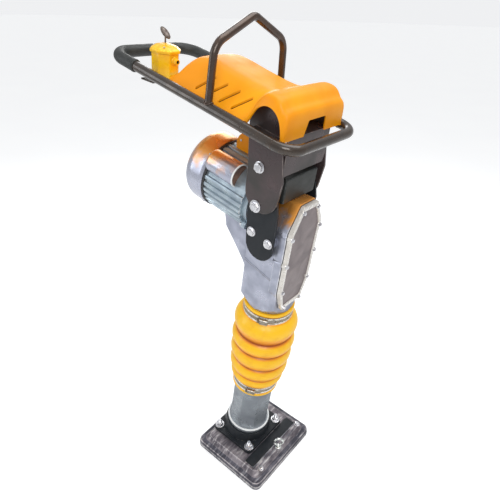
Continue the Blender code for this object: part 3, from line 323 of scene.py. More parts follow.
def bolt(corner, height, washer_radius, washer_height, at, shape=None, stud=0.0, stud_radius=0.0):
    """A bolt head on its washer, or a nut with a stud end; its underside sits at the frame's origin."""
    shape = shape or bmesh.new()
    if washer_height:
        turned_ring(corner * 0.3, washer_radius, 0.0, washer_height, 0.0004, 32, shape, at)
    hex_head(corner, height, shape, at @ shift(0.0, 0.0, washer_height))
    if stud:
        thread(stud_radius, washer_height + height - 0.001, washer_height + height + stud, shape, at)
    return shape


def cap_screw(radius, height, shape=None, at=HERE):
    """A domed screw head with a hexagon socket."""
    socket = radius * 0.42
    profile = [(radius, 0.0), (radius, height * 0.45), (radius * 0.92, height * 0.75),
               (radius * 0.72, height), (socket, height), (socket * 0.96, height * 0.5), (0.0, height * 0.45)]
    return revolve(profile, 24, shape, at, paint=[0, 1, 1, 0, 0, 0])


def placed(name, data):
    thing = bpy.data.objects.new(name, data)
    bpy.context.scene.collection.objects.link(thing)
    return thing


def modified(thing, *helpers):
    """The object's mesh with its modifiers applied; the object and its helpers go."""
    bpy.context.view_layer.update()
    mesh = bpy.data.meshes.new_from_object(thing.evaluated_get(bpy.context.evaluated_depsgraph_get()))
    for used in (thing, *helpers):
        bpy.data.objects.remove(used)
    return mesh


def cut(mesh, tools):
    """The mesh after the tool meshes are cut from it, all in the same frame."""
    target = placed("target", mesh)
    helpers = [placed("tool", tool) for tool in tools]
    for helper in helpers:
        target.modifiers.new("cut", "BOOLEAN").object = helper
    return modified(target, *helpers)


# ---------------------------------------------------------------- material nodes

def add(tree, kind, inputs=None, **settings):
    node = tree.nodes.new("ShaderNode" + kind)
    for key, value in settings.items():
        setattr(node, key, value)
    for key, value in (inputs or {}).items():
        socket = node.inputs[key]
        if isinstance(value, bpy.types.NodeSocket):
            tree.links.new(value, socket)
        elif isinstance(value, tuple) and len(value) == 3 and socket.type == "RGBA":
            socket.default_value = (*value, 1.0)
        else:
            socket.default_value = value
    return node


def noise_value(tree, scale, detail=3.0, stretch=(1.0, 1.0, 1.0), distortion=0.0):
    """Noise over the row frame, about 0.3 to 0.7, with features of 1 / scale metres."""
    place = add(tree, "TexCoord").outputs["Object"]
    place = add(tree, "Mapping", {"Vector": place, "Scale": stretch}).outputs[0]
    settings = {"Vector": place, "Scale": scale, "Detail": detail, "Distortion": distortion}
    return add(tree, "TexNoise", settings).outputs[0]


def spread(tree, value, low, high, new_low=0.0, new_high=1.0):
    settings = {"Value": value, "From Min": low, "From Max": high, "To Min": new_low, "To Max": new_high}
    return add(tree, "MapRange", settings).outputs[0]


def arithmetic(tree, operation, first, second):
    return add(tree, "Math", {0: first, 1: second}, operation=operation).outputs[0]


def blend_colour(tree, share, first, second):
    return add(tree, "Mix", {0: share, 6: first, 7: second}, data_type="RGBA").outputs[2]


def colour_ramp(tree, value, first, last, between):
    """Colours along a value from 0 to 1, with some positions between."""
    node = add(tree, "ValToRGB", {"Fac": value})
    elements = node.color_ramp.elements
    elements[0].color, elements[1].color = (*first, 1.0), (*last, 1.0)
    for position, colour in between:
        elements.new(position).color = (*colour, 1.0)
    return node.outputs[0]


def new_finish(name, metallic=0.0, coat=0.0, specular=0.5):
    material = bpy.data.materials.new(name)
    material.use_nodes = True
    shader = material.node_tree.nodes["Principled BSDF"]
    shader.inputs["Metallic"].default_value = metallic
    shader.inputs["Coat Weight"].default_value = coat
    shader.inputs["Coat Roughness"].default_value = COAT_ROUGHNESS
    shader.inputs["Specular IOR Level"].default_value = specular
    return material, material.node_tree, shader


def connect(tree, shader, colour, roughness, height=None, distance=0.0002):
    tree.links.new(colour, shader.inputs["Base Color"])
    tree.links.new(roughness, shader.inputs["Roughness"])
    if height is not None:
        bump = add(tree, "Bump", {"Height": height, "Distance": distance, "Strength": 1.0})
        tree.links.new(bump.outputs[0], shader.inputs["Normal"])


# Orange of the painted reflection that the hood casts on the metal below it.
HOOD_REFLECTION_ORANGE = (0.95, 0.38, 0.02)
COAT_ROUGHNESS = 0.12


def coated(name, colour, second, metallic=0.0, roughness=0.4, vary=0.12, mottle=28.0, grain=420.0,
           depth=0.00008, coat=0.0, specular=0.5, bare=None, wear=0.0, stretch=(1.0, 1.0, 1.0), glow=None):
    """Paint, plating or moulding: two tones, a fine grain, uneven gloss and, on edges, worn patches.

    The last argument gives the heights between which the metal takes a painted reflection of the orange hood above
    it.
    """
    material, tree, shader = new_finish(name, metallic, coat, specular)
    patches = noise_value(tree, mottle, 4.0, stretch, 0.4)
    shade = blend_colour(tree, spread(tree, patches, 0.36, 0.64), colour, second)
    fine = noise_value(tree, grain, 2.0, stretch)
    if bare:
        chips = spread(tree, noise_value(tree, mottle * 3.0, 4.0), 0.62 - wear * 0.4, 0.82 - wear * 0.3)
        shade = blend_colour(tree, chips, shade, bare)
    # Painted reflection: between two heights, made uneven by the patches, the metal turns towards the hood's
    # orange.
    if glow:
        height = add(tree, "SeparateXYZ", {"Vector": add(tree, "TexCoord").outputs["Object"]}).outputs["Z"]
        uneven = arithmetic(tree, "ADD", height, arithmetic(tree, "MULTIPLY", patches, 0.12))
        reflection_share = spread(tree, uneven, glow[0] + 0.06, glow[1] + 0.06, 0.0, 0.88)
        shade = blend_colour(tree, reflection_share, shade, HOOD_REFLECTION_ORANGE)
    gloss = spread(tree, patches, 0.3, 0.7, roughness - vary, roughness + vary)
    connect(tree, shader, shade, gloss, fine, depth)
    return material


def finish_pair(name, colour, second, bare, wear=0.5, **settings):
    """The finish itself and the same finish worn through on edges."""
    worn = dict(settings, metallic=max(settings.get("metallic", 0.0), 0.3), bare=bare, wear=wear)
    return [coated(name, colour, second, **settings), coated(name + "_edge", colour, second, **worn)]


def bellows_rubber():
    """Moulded yellow rubber with painted shade, deepening to burnt orange on the fold undersides and in the
    grooves, as stored on the mesh.
    """
    material, tree, shader = new_finish("bellows_rubber", 0.0, 0.15)
    # The groove layer holds painted shade, from 0 on lit crests to 1 on fold undersides and in the grooves.
    groove = add(tree, "Attribute", attribute_name="groove").outputs["Fac"]
    patches = noise_value(tree, 35.0, 4.0, distortion=0.5)
    flank = (0.42, (0.93, 0.34, 0.002))
    shaded_folds = colour_ramp(tree, groove, (0.95, 0.54, 0.003), (0.34, 0.05, 0.001), [flank])
    shade = blend_colour(tree, spread(tree, patches, 0.5, 0.75, 0.0, 0.35), shaded_folds, (0.75, 0.3, 0.004))
    fine = noise_value(tree, 500.0, 2.0)
    connect(tree, shader, shade, spread(tree, patches, 0.3, 0.7, 0.34, 0.52), fine, 0.00006)
    return [material]


def worn_iron(name, dark, light, bright, share):
    """Scuffed iron: dark scale, rubbed lighter patches and faint streaks."""
    material, tree, shader = new_finish(name, 0.45)
    patches = noise_value(tree, 22.0, 6.0, (1.0, 1.0, 1.0), 0.3)
    streaks = noise_value(tree, 60.0, 5.0, (2.2, 0.5, 1.0), 0.3)
    rubbed = spread(tree, arithmetic(tree, "ADD", patches, streaks), 0.92 - share * 0.2, 1.2 - share * 0.2)
    shade = blend_colour(tree, rubbed, dark, light)
    lines = spread(tree, streaks, 0.56, 0.8)
    shade = blend_colour(tree, lines, shade, bright)
    rough = spread(tree, arithmetic(tree, "ADD", patches, lines), 0.3, 1.4, 0.55, 0.3)
    connect(tree, shader, shade, rough, arithmetic(tree, "ADD", patches, streaks), 0.0006)
    return material


def striped(name, colour, second, axes, pitch, metallic=0.9, roughness=0.35):
    """Stacked sheets or turning marks: bands across a frame's Z axis."""
    material, tree, shader = new_finish(name, metallic)
    place = add(tree, "TexCoord").outputs["Object"]
    lean = axes.to_3x3().inverted().to_euler()
    place = add(tree, "Mapping", {"Vector": place, "Rotation": tuple(lean)}).outputs[0]
    wave = add(tree, "TexWave", {"Vector": place, "Scale": 0.05 / pitch, "Distortion": 0.4, "Detail": 2.0},
               bands_direction="Z").outputs[0]
    patches = noise_value(tree, 40.0, 4.0)
    shade = blend_colour(tree, wave, colour, second)
    gloss = spread(tree, patches, 0.3, 0.7, roughness - 0.1, roughness + 0.12)
    connect(tree, shader, shade, gloss, wave, pitch * 0.1)
    return [material]


STEEL = (0.62, 0.61, 0.6)
# For each finish: colour, second tone, worn colour and wear of its edges, and settings of coated().
PAINTS = {
    "black_paint": ((0.012, 0.015, 0.019), (0.02, 0.023, 0.027), (0.36, 0.35, 0.36), 0.6,
        dict(roughness=0.42, specular=0.25)),
    "plate_paint": ((0.078, 0.055, 0.057), (0.044, 0.039, 0.037), (0.34, 0.29, 0.27), 0.5,
        dict(metallic=0.3, roughness=0.32, mottle=13.0, coat=0.15)),
    "tube_paint": ((0.048, 0.033, 0.023), (0.03, 0.022, 0.017), (0.22, 0.19, 0.16), 0.3,
        dict(metallic=0.3, roughness=0.28, coat=0.5, mottle=40.0)),
    "hoop_paint": ((0.085, 0.052, 0.036), (0.05, 0.034, 0.026), (0.25, 0.2, 0.17), 0.3,
        dict(metallic=0.5, roughness=0.25, coat=0.4, mottle=45.0)),
    "hood_orange": ((0.9, 0.35, 0.002), (0.82, 0.285, 0.001), (1.0, 0.46, 0.02), 0.5,
        dict(roughness=0.42, specular=0.28, mottle=10.0, grain=260.0, depth=0.00005, coat=0.04)),
    "louvre_shadow": ((0.16, 0.028, 0.004), (0.11, 0.018, 0.003), (0.2, 0.05, 0.01), 0.3,
        dict(roughness=0.6, mottle=60.0)),
    "switch_yellow": ((0.95, 0.56, 0.006), (0.88, 0.47, 0.004), (1.0, 0.7, 0.05), 0.5,
        dict(roughness=0.36, mottle=60.0, coat=0.2)),
    # Cast aluminium carries a painted reflection of the orange hood on its upper shoulder.
    "cast_aluminium": ((0.46, 0.48, 0.57), (0.35, 0.37, 0.45), (0.78, 0.79, 0.82), 0.8,
        dict(metallic=0.75, roughness=0.36, mottle=30.0, grain=300.0, depth=0.00016, glow=(0.858, 0.892))),
    "leg_metal": ((0.3, 0.335, 0.36), (0.215, 0.235, 0.265), (0.6, 0.62, 0.64), 0.6,
        dict(metallic=0.6, roughness=0.3, mottle=22.0, depth=0.00012)),
    # Near-white: a painted highlight on the leg's flare ring and on the capacitor can's rolled rim.
    "highlight_rim": ((0.88, 0.89, 0.88), (0.72, 0.75, 0.76), (0.9, 0.9, 0.9), 0.5,
        dict(roughness=0.3, mottle=60.0)),
    "motor_aluminium": ((0.44, 0.52, 0.57), (0.33, 0.4, 0.46), (0.72, 0.76, 0.79), 0.7,
        dict(metallic=0.65, roughness=0.36, mottle=34.0, grain=340.0, depth=0.00012)),
    # The motor cover paint carries a painted reflection of the orange hood on its top.
    "motor_cover_paint": ((0.47, 0.49, 0.58), (0.39, 0.41, 0.51), (0.8, 0.8, 0.8), 0.5,
        dict(metallic=0.7, roughness=0.3, mottle=20.0, grain=500.0, depth=0.00004, coat=0.3,
             glow=(0.958, 0.992))),
    "capacitor_face": ((0.21, 0.12, 0.085), (0.13, 0.08, 0.065), STEEL, 0.4,
        dict(roughness=0.55, specular=0.2, mottle=70.0)),
    "cover_paint": ((0.225, 0.185, 0.185), (0.18, 0.15, 0.155), STEEL, 0.5,
        dict(metallic=0.2, roughness=0.42, mottle=24.0, grain=380.0, depth=0.0001)),
    "cover_rim": ((0.72, 0.69, 0.64), (0.6, 0.57, 0.53), (0.85, 0.83, 0.8), 0.6,
        dict(metallic=0.55, roughness=0.34, mottle=50.0)),
    "plated_steel": ((0.72, 0.72, 0.74), (0.55, 0.55, 0.58), (0.85, 0.85, 0.85), 0.8,
        dict(metallic=0.95, roughness=0.24, vary=0.1, mottle=120.0, grain=800.0, depth=0.00003)),
    "chrome_steel": ((0.8, 0.82, 0.8), (0.62, 0.64, 0.62), (0.9, 0.9, 0.9), 0.8,
        dict(metallic=1.0, roughness=0.16, vary=0.08, mottle=140.0, grain=800.0, depth=0.00003)),
    "band_steel": ((0.36, 0.33, 0.27), (0.22, 0.2, 0.17), (0.8, 0.78, 0.72), 0.9,
        dict(metallic=0.9, roughness=0.3, mottle=90.0, stretch=(1.0, 1.0, 4.0))),
    "forged_steel": ((0.3, 0.3, 0.32), (0.2, 0.2, 0.22), (0.6, 0.6, 0.6), 0.6,
        dict(metallic=0.9, roughness=0.42, mottle=60.0, grain=350.0, depth=0.00015)),
    "spring_steel": ((0.2, 0.21, 0.26), (0.12, 0.12, 0.15), (0.4, 0.4, 0.45), 0.4,
        dict(metallic=0.8, roughness=0.32, mottle=80.0)),
    "bearing_steel": ((0.7, 0.7, 0.72), (0.58, 0.58, 0.6), (0.8, 0.8, 0.8), 0.6,
        dict(metallic=1.0, roughness=0.2, vary=0.08, mottle=90.0)),
    "bronze": ((0.6, 0.38, 0.16), (0.48, 0.29, 0.12), (0.75, 0.55, 0.3), 0.5,
        dict(metallic=0.95, roughness=0.32, mottle=70.0)),
    "lever_metal": ((0.24, 0.2, 0.17), (0.15, 0.12, 0.11), (0.55, 0.5, 0.45), 0.5,
        dict(metallic=0.7, roughness=0.34, mottle=150.0)),
    "fan_plastic": ((0.022, 0.022, 0.024), (0.032, 0.032, 0.034), (0.06, 0.06, 0.06), 0.2,
        dict(roughness=0.5, mottle=80.0)),
    "black_rubber": ((0.016, 0.019, 0.018), (0.028, 0.031, 0.03), (0.07, 0.075, 0.075), 0.5,
        dict(roughness=0.52, mottle=50.0, grain=420.0, depth=0.00018)),
    "cable_rubber": ((0.014, 0.014, 0.015), (0.024, 0.024, 0.026), (0.05, 0.05, 0.05), 0.3,
        dict(roughness=0.45, mottle=120.0)),
}
FINISHES = {name: finish_pair(name, *tones, **settings) for name, (*tones, settings) in PAINTS.items()}
FINISHES["bellows_yellow"] = bellows_rubber()
for name, settings in (("machined_steel", ((0.6, 0.6, 0.62), (0.5, 0.5, 0.52), LEG, 0.0012, 1.0, 0.24)),
                       ("lamination_steel", ((0.34, 0.34, 0.36), (0.16, 0.16, 0.18), MOTOR, 0.0025))):
    FINISHES[name] = striped(name, *settings)
FINISHES["sole_steel"] = [worn_iron("sole_steel", (0.1, 0.1, 0.12), (0.34, 0.33, 0.36), STEEL, 0.3),
                          worn_iron("sole_steel_edge", (0.2, 0.2, 0.22), (0.5, 0.48, 0.48), STEEL, 0.7)]
FINISHES["shoe_iron"] = [
    worn_iron("shoe_iron", (0.095, 0.085, 0.1), (0.25, 0.225, 0.245), STEEL, 0.4),
    worn_iron("shoe_iron_edge", (0.14, 0.13, 0.15), (0.44, 0.41, 0.42), (0.8, 0.78, 0.76), 0.5),
    worn_iron("shoe_iron_rim", (0.045, 0.045, 0.06), (0.11, 0.105, 0.13), (0.3, 0.3, 0.32), 0.3)]


# ---------------------------------------------------------------- pieces

EDGE_WIDTHS = {
    "crankcase": 0.0016, "leg_flange": 0.001, "lower_plate_near": 0.0009, "lower_plate_far": 0.0009,
    "upper_plate_near": 0.0009, "upper_plate_far": 0.0009, "cross_channel": 0.0008, "buffer_block": 0.0012,
    "motor_flange": 0.001, "motor_support": 0.002, "terminal_box": 0.0012, "switch_bracket": 0.0008,
}
OTHER_EDGES = 0.0004


def dress(thing, finish):
    """Fill the material slots. Only a CAD node's are cleared, as that resets the faces' indices."""
    if thing.data.materials:
        thing.data.materials.clear()
    for material in FINISHES[finish]:
        thing.data.materials.append(material)


def piece(name, shape, axes, body, finish, *stands_for, sharp=32.0):
    """A finished part in the row frame, riding on a body and standing for CAD nodes."""
    mesh = shape if isinstance(shape, bpy.types.Mesh) else to_mesh(shape, name, sharp)
    mesh.transform(axes)
    thing = placed(name, mesh)
    dress(thing, finish)
    if body:
        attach(thing, body)
    if stands_for:
        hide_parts(*stands_for)
    return thing


def dress_cad_nodes():
    """Every CAD node takes its slot's finish; the hardware that stays visible gets rounded edges."""
    for name, node in NODES.items():
        attributes = node.data.attributes
        if "custom_normal" in attributes:
            attributes.remove(attributes["custom_normal"])
        dress(node, SLOTS[name])
        node.data.shade_smooth()
        node.modifiers.new("weld", "WELD").merge_threshold = 0.000005
        bevel = node.modifiers.new("rounded", "BEVEL")
        bevel.width = EDGE_WIDTHS.get(name, OTHER_EDGES)
        bevel.segments = 2
        bevel.limit_method = "ANGLE"
        bevel.angle_limit = radians(35.0)
        bevel.material = len(FINISHES[SLOTS[name]]) - 1
        node.modifiers.new("normals", "WEIGHTED_NORMAL").keep_sharp = True


# ---------------------------------------------------------------- foot

SHOE_CORNER, SHOE_CURL, SHOE_DENTS = 0.02, 0.0045, 0.0005


def build_shoe():
    """Cast shoe: an upright rim, a scuffed slope, a rounded step and a plateau, corners curled up."""
    low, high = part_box("shoe_body")
    outline = resampled(box_outline(low.x, high.x, low.y, high.y, SHOE_CORNER), 0.006, closed=True)
    steps = [(low.z, 0.001), (low.z + 0.0006, 0.0), (0.02, 0.0), (0.0236, 0.001), (0.0256, 0.003),
             (0.0262, 0.006), (0.0272, 0.01), (0.03, 0.0142), (0.0345, 0.0185), (0.0385, 0.0222),
             (0.0412, 0.025), (0.0424, 0.0275), (high.z, 0.031)]
    rings = []
    middle, half = (low + high) / 2, (high - low) / 2
    for height, distance in steps:
        ring = []
        curled = SHOE_CURL * max(0.0, 1.0 - distance / 0.012) * (height > 0.021)
        dented = SHOE_DENTS * (low.z + 0.001 < height < high.z)
        for edge_point in outline:
            x = middle.x + (edge_point.x - middle.x) * (1.0 - distance / half.x)
            y = middle.y + (edge_point.y - middle.y) * (1.0 - distance / half.y)
            corner = min(1.0, abs(x) / high.x) * min(1.0, abs(y) / high.y)
            curl = curled * max(0.0, (corner - 0.8) / 0.2)
            ring.append((x, y, height + curl + dented * noise.noise(Vector((x, y, height)) * 45.0)))
        rings.append(ring)
    for share in (0.8, 0.4, 0.0):
        rings.append([(point[0] * share, point[1] * share, high.z) for point in rings[len(steps) - 1]])
    # Bands 3 and 10, the rim's top and the plateau's edge, take the lighter edge finish: wear on those edges, and
    # a painted highlight as well.
    shape = skin(rings, paint=[2, 2, 2, 1, 2, 2, 2, 0, 0, 0, 1, 0, 0, 0, 0])
    bottom = [(point.x * 0.5, point.y * 0.5, low.z) for point in outline]
    skin([rings[0], bottom, [(0.0, 0.0, low.z)] * len(outline)], shape=shape, paint=[2, 2])
    piece("shoe_casting", shape, HERE, "foot", "shoe_iron", "shoe_body", sharp=50.0)
    top = high.z
    apron = slab(box_outline(0.0515, 0.086, -0.11, 0.11, 0.004), top - 0.0008, top + 0.0014, 0.0006)
    piece("toe_apron", apron, HERE, "foot", "black_paint")
    beads = bmesh.new()
    for x, half_length, width in ((0.0878, 0.112, 0.0022), (0.0988, 0.108, 0.0016)):
        path = [(x + 0.0006 * noise.noise(Vector((x, y, 0.0)) * 60.0), y, top + 0.0002)
                for y in (half_length * (step / 30.0 - 1.0) for step in range(61))]
        sweep(path, lambda share, w=width: w * (1.0 + 0.12 * sin(share * 190.0)), UP,
              sides=12, shape=beads)
    piece("toe_beads", beads, HERE, "foot", "sole_steel", sharp=60.0)
    shape = bmesh.new()
    for x, y in ((0.105, -0.096), (0.096, 0.112)):
        bolt(0.007, 0.005, 0.0095, 0.0014, shift(x, y, top), shape)
    piece("toe_bolts", shape, HERE, "foot", "plated_steel")


def build_sole():
    low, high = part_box("wear_plate")
    plate = slab(box_outline(low.x, high.x, low.y, high.y, SHOE_CORNER), low.z, high.z, 0.0022)
    piece("sole_plate", plate, HERE, "foot", "sole_steel", "wear_plate")


def build_foot_hardware():
    for number in range(1, 5):
        low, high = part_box(f"flange_bolt_{number}")
        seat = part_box("leg_flange")[0].z + 0.0123
        at = shift((low.x + high.x) / 2, (low.y + high.y) / 2, seat) @ turned(0.4 * number)
        shape = bolt(0.011, 0.01, 0.015, 0.0025, at, None, 0.011, 0.0058)
        piece(f"stud_nut_{number}", shape, HERE, "foot", "plated_steel", f"flange_bolt_{number}")
    low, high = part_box("eye_bolt")
    centre = (low + high) / 2
    ring_z = high.z - 0.0178
    at = shift(centre.x, centre.y, ring_z) @ turned(radians(42.0)) @ SIDE
    shape = torus(0.0142, 0.0036, None, at, 56, 16)
    revolve([(0.0, 0.0), (0.01, 0.0), (0.01, 0.0022), (0.0092, 0.003), (0.0058, 0.0034), (0.0052, 0.006),
             (0.0048, 0.0085), (0.0, 0.0085)], 40, shape, shift(centre.x, centre.y, low.z))
    piece("lifting_eye", shape, HERE, "foot", "chrome_steel", "eye_bolt", sharp=50.0)


def build_leg_casting():
    """Lower leg: a round skirt whose rim carries a painted highlight, then eight flats up into the bellows."""
    low, high = span("leg_tube", LEG)
    flat, corner = 0.0578, 0.0626
    levels = [(low.z, 0.0662, 0.0), (low.z + 0.006, 0.0672, 0.0), (0.099, 0.0684, 0.0), (0.1052, 0.0684, 0.0),
              (0.1068, 0.0672, 0.0), (0.108, 0.0644, 0.1), (0.113, 0.062, 0.5), (0.12, 0.0612, 0.9),
              (0.13, 0.0605, 1.0), (0.28, 0.06, 1.0), (0.32, 0.06, 1.0), (high.z, 0.0565, 0.0)]
    rings = []
    for level, radius, facet in levels:
        ring = []
        for angle in range(0, 360, 3):
            flats = min(flat / cos(radians(angle % 45.0 - 22.5)), corner)
            reach = radius * (1.0 - facet) + flats * facet
            turn = radians(angle + 8.0)
            ring.append((reach * cos(turn), reach * sin(turn), level))
        rings.append(ring)
    rings += [raised(circle(0.051, 120), level) for level in (high.z, low.z)]
    shape = skin(rings, along=True, paint=[0, 0, 0, 1, 1, 0, 0, 0, 0, 0, 0, 0, 0, 0])
    leg = piece("leg_casting", shape, LEG, "foot", "leg_metal", "leg_tube", sharp=12.0)
    # The flare ring's bands take the near-white finish as a painted highlight.
    leg.data.materials[1] = FINISHES["highlight_rim"][0]


# ---------------------------------------------------------------- bellows and clamps

# For each fold: top, bottom, crest radius and the radius of the groove below it.
FOLDS = ((0.5745, 0.505, 0.088, 0.0762), (0.505, 0.456, 0.0893, 0.0762), (0.456, 0.401, 0.088, 0.0742),
         (0.401, 0.353, 0.0848, 0.0712), (0.353, 0.318, 0.0785, 0.066))
CUFF_RADIUS = 0.066
BELLOWS_WALL = 0.0032
FOLD_STEPS = 22
BOOT_STEPS = 144
BOOT_WAVE = 0.0022


def bellows_profile():
    """Outer side from the top lip to the bottom lip as (radius, height, share of painted shade)."""
    lip = CUFF_RADIUS + 0.0034
    profile = [(CUFF_RADIUS, 0.6088, 0.1), (lip - 0.0008, 0.6084, 0.0), (lip, 0.606, 0.0), (lip, 0.602, 0.0),
               (lip - 0.001, 0.6, 0.1), (CUFF_RADIUS, 0.599, 0.4), (CUFF_RADIUS, 0.577, 0.6)]
    start = 0.068
    for number, (top, bottom, crest, groove) in enumerate(FOLDS):
        for step in range(1, FOLD_STEPS + 1):
            share = step / FOLD_STEPS
            base = start + (groove - start) * share
            swell = sin(pi * share ** 0.9) ** 0.85 if share < 1.0 else 0.0
            radius = base + (crest - base) * swell
            # Painted shade: darker down each fold's underside into its groove, and at the top of the next fold.
            shade = max(0.0, (share - 0.48) / 0.46) if number < 4 else max(0.0, (share - 0.35) / 1.2)
            shade = max(shade, (0.12 - share) / 0.12 if number else 0.0)
            profile.append((radius, top + (bottom - top) * share, min(1.0, shade)))
        start = groove
    profile += [(CUFF_RADIUS, 0.293, 0.5), (lip - 0.0008, 0.2918, 0.1), (lip, 0.2895, 0.0), (lip, 0.285, 0.0),
                (lip - 0.001, 0.2832, 0.0), (CUFF_RADIUS, 0.2828, 0.0)]
    return profile


def build_bellows():
    """One moulded boot: its lower cuff follows the foot and its upper cuff the crankcase."""
    outer = bellows_profile()
    inner = [(radius - BELLOWS_WALL, height, shade) for radius, height, shade in reversed(outer)]
    profile = outer + inner
    rings = []
    for radius, height, _ in profile:
        wave = BOOT_WAVE if radius > CUFF_RADIUS + 0.004 else 0.0
        ring = []
        for turn in turns_of(BOOT_STEPS):
            x, y = cos(turn), sin(turn)
            reach = radius * (1.0 + wave * noise.noise(Vector((x * 2.0, y * 2.0, height * 30.0))))
            ring.append((reach * x, reach * y, height))
        rings.append(ring)
    shape = skin(rings, along=True)
    # The painted shade goes on the mesh as the groove layer.
    layer = shape.verts.layers.float.new("groove")
    shape.verts.ensure_lookup_table()
    for index, (_, _, shade) in enumerate(profile):
        for step in range(BOOT_STEPS):
            shape.verts[index * BOOT_STEPS + step][layer] = shade
    boot = piece("bellows_boot", shape, LEG, None, "bellows_yellow", "bellows", sharp=60.0)
    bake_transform(boot, "foot", "crankcase", up_leg(FOLDS[-1][1]), up_leg(FOLDS[0][0]))


def build_clamp(node, body):
    """Perforated hose clamp band with its worm housing and screw."""
    low, high = span(node, LEG)
    inner, outer = CUFF_RADIUS + 0.0003, CUFF_RADIUS + 0.0019
    cells, per_cell = 56, 6
    middle = (low.z + high.z) / 2
    half = (high.z - low.z) / 2
    upper = [(0.0045, outer), (0.005, outer), (half - 0.001, outer + 0.0005), (half, outer), (half, inner)]
    levels = [(-level, radius) for level, radius in reversed(upper)] + upper
    rings = []
    for level, radius in levels:
        ring = []
        for step, turn in enumerate(turns_of(cells * per_cell)):
            slot = step % per_cell in (1, 2, 3) and abs(level) < 0.0048
            reach = radius - 0.0011 if slot else radius
            ring.append((reach * cos(turn), reach * sin(turn), middle + level))
        rings.append(ring)
    shape = skin(rings, along=True, paint=[0, 1, 1, 0, 0, 0, 1, 1, 0, 0])
    around = radians(-62.0)
    spot = turned(around) @ shift(outer + 0.004, 0.0, middle)
    slab(box_outline(-0.0045, 0.0045, -0.012, 0.012, 0.003, 4), -0.0075, 0.0075, 0.0016, shape, spot)
    screw = spot @ shift(0.0008, -0.012, 0.0) @ turned(QUARTER, "X")
    hex_head(0.0052, 0.0055, shape, screw)
    tail = turned(around + 0.26) @ shift(outer + 0.0006, 0.0, middle)
    slab(box_outline(-0.0007, 0.0007, -0.012, 0.012, 0.0006, 2), -0.007, 0.007, 0.0004, shape, tail)
    piece(node.replace("clamp", "hose_clamp"), shape, LEG, body, "band_steel", node, sharp=25.0)


def build_spring(node, turns, low_body, high_body):
    low, high = span(node, LEG)
    wire = 0.004
    coil = (high.x - low.x) / 2 - wire
    first, last = low.z + wire, high.z - wire
    count = turns * 36
    path = []
    for step in range(count + 1):
        share = step / count
        climb = min(max((share - 0.06) / 0.88, 0.0), 1.0)
        angle = 2.0 * pi * turns * share
        path.append((coil * cos(angle), coil * sin(angle), first + (last - first) * climb))
    bar = sweep(path, wire, UP, sides=14)
    coil_piece = piece(node + "_coil", bar, LEG, None, "spring_steel", node)
    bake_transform(coil_piece, low_body, high_body, up_leg(low.z), up_leg(high.z))


# ---------------------------------------------------------------- crankcase, cover and side plates

UPPER_PLATE_FACE = 0.0833


def case_outline(offset=0.0):
    """The crankcase seen from the front, as (across, up the leg), counter-clockwise, corners rounded."""
    low, high = span("crankcase_cover", LEG)
    half = high.y + 0.0005
    right = [(0.042, low.z), (half, 0.69), (half, 0.866), (0.028, high.z)]
    corners = [(-0.042, low.z)] + right + [(-y, z) for y, z in reversed(right[1:])]
    return inset(rounded(corners, 0.007), -offset)


COVER_BOLTS = [(sign * y, z) for sign in (-1.0, 1.0) for y, z in (
    (0.0285, 0.911), (0.056, 0.852), (0.0575, 0.779), (0.053, 0.698), (0.033, 0.6395))]
CASE_FACE = span("crankcase_cover", LEG)[0].x - 0.0018
PANEL_CENTRE = 0.779


def about_panel(points, across, up):
    """Points scaled about the centre of the cover."""
    return [Vector((point.x * across, PANEL_CENTRE + (point.y - PANEL_CENTRE) * up)) for point in points]


def build_cover():
    """Front cover: a bright rim with bolt bosses round a sunk panel, on a thin gasket."""
    low, high = span("crankcase_cover", LEG)
    outline = case_outline()
    thickness = high.x - low.x
    inner = about_panel(outline, 0.835, 0.915)
    steps = ((outline, 0.0, thickness), (outline, 0.0, 0.0016), (outline, 0.0005, 0.0005),
             (outline, 0.0016, 0.0), (inner, -0.0022, 0.0), (inner, -0.0012, 0.0004),
             (inner, -0.0004, 0.0024), (inner, 0.0012, 0.0034), (inner, 0.005, 0.0034))
    rings = [raised(inset(points, distance), thickness - drop) for points, distance, drop in steps]
    rings += [raised(about_panel(inner, share, share), thickness - 0.003) for share in (0.6, 0.2, 0.0)]
    shape = skin(rings, paint=[1, 1, 1, 2, 2, 1, 0, 0, 0, 0, 0])
    skin([rings[0], [(0.0, PANEL_CENTRE, 0.0)] * len(outline)], shape=shape, paint=[0])
    for y, z in COVER_BOLTS:
        revolve([(0.0, 0.0), (0.0066, 0.0), (0.0066, thickness - 0.0006), (0.006, thickness + 0.0004),
                 (0.0, thickness + 0.0004)], 28, shape, shift(y, z, 0.0), paint=[1, 2, 2, 2])
    at = LEG @ shift(low.x, 0.0, 0.0) @ FACE
    cover = piece("front_cover", shape, at, "crankcase", "cover_paint", "crankcase_cover", sharp=30.0)
    cover.data.materials[1] = FINISHES["cover_rim"][0]
    cover.data.materials.append(FINISHES["cover_rim"][1])
    gasket = slab(case_outline(-0.0004), CASE_FACE + 0.0001, low.x - 0.0001, 0.0001, None, FACE)
    piece("cover_gasket", gasket, LEG, "crankcase", "black_rubber")
    heads = bmesh.new()
    for number, (y, z) in enumerate(COVER_BOLTS):
        spin = turned(0.7 * number)
        bolt(0.0046, 0.0038, 0.0056, 0.0008, FACE @ shift(y, z, high.x + 0.0004) @ spin, heads)
    piece("cover_bolts", heads, LEG, "crankcase", "plated_steel")


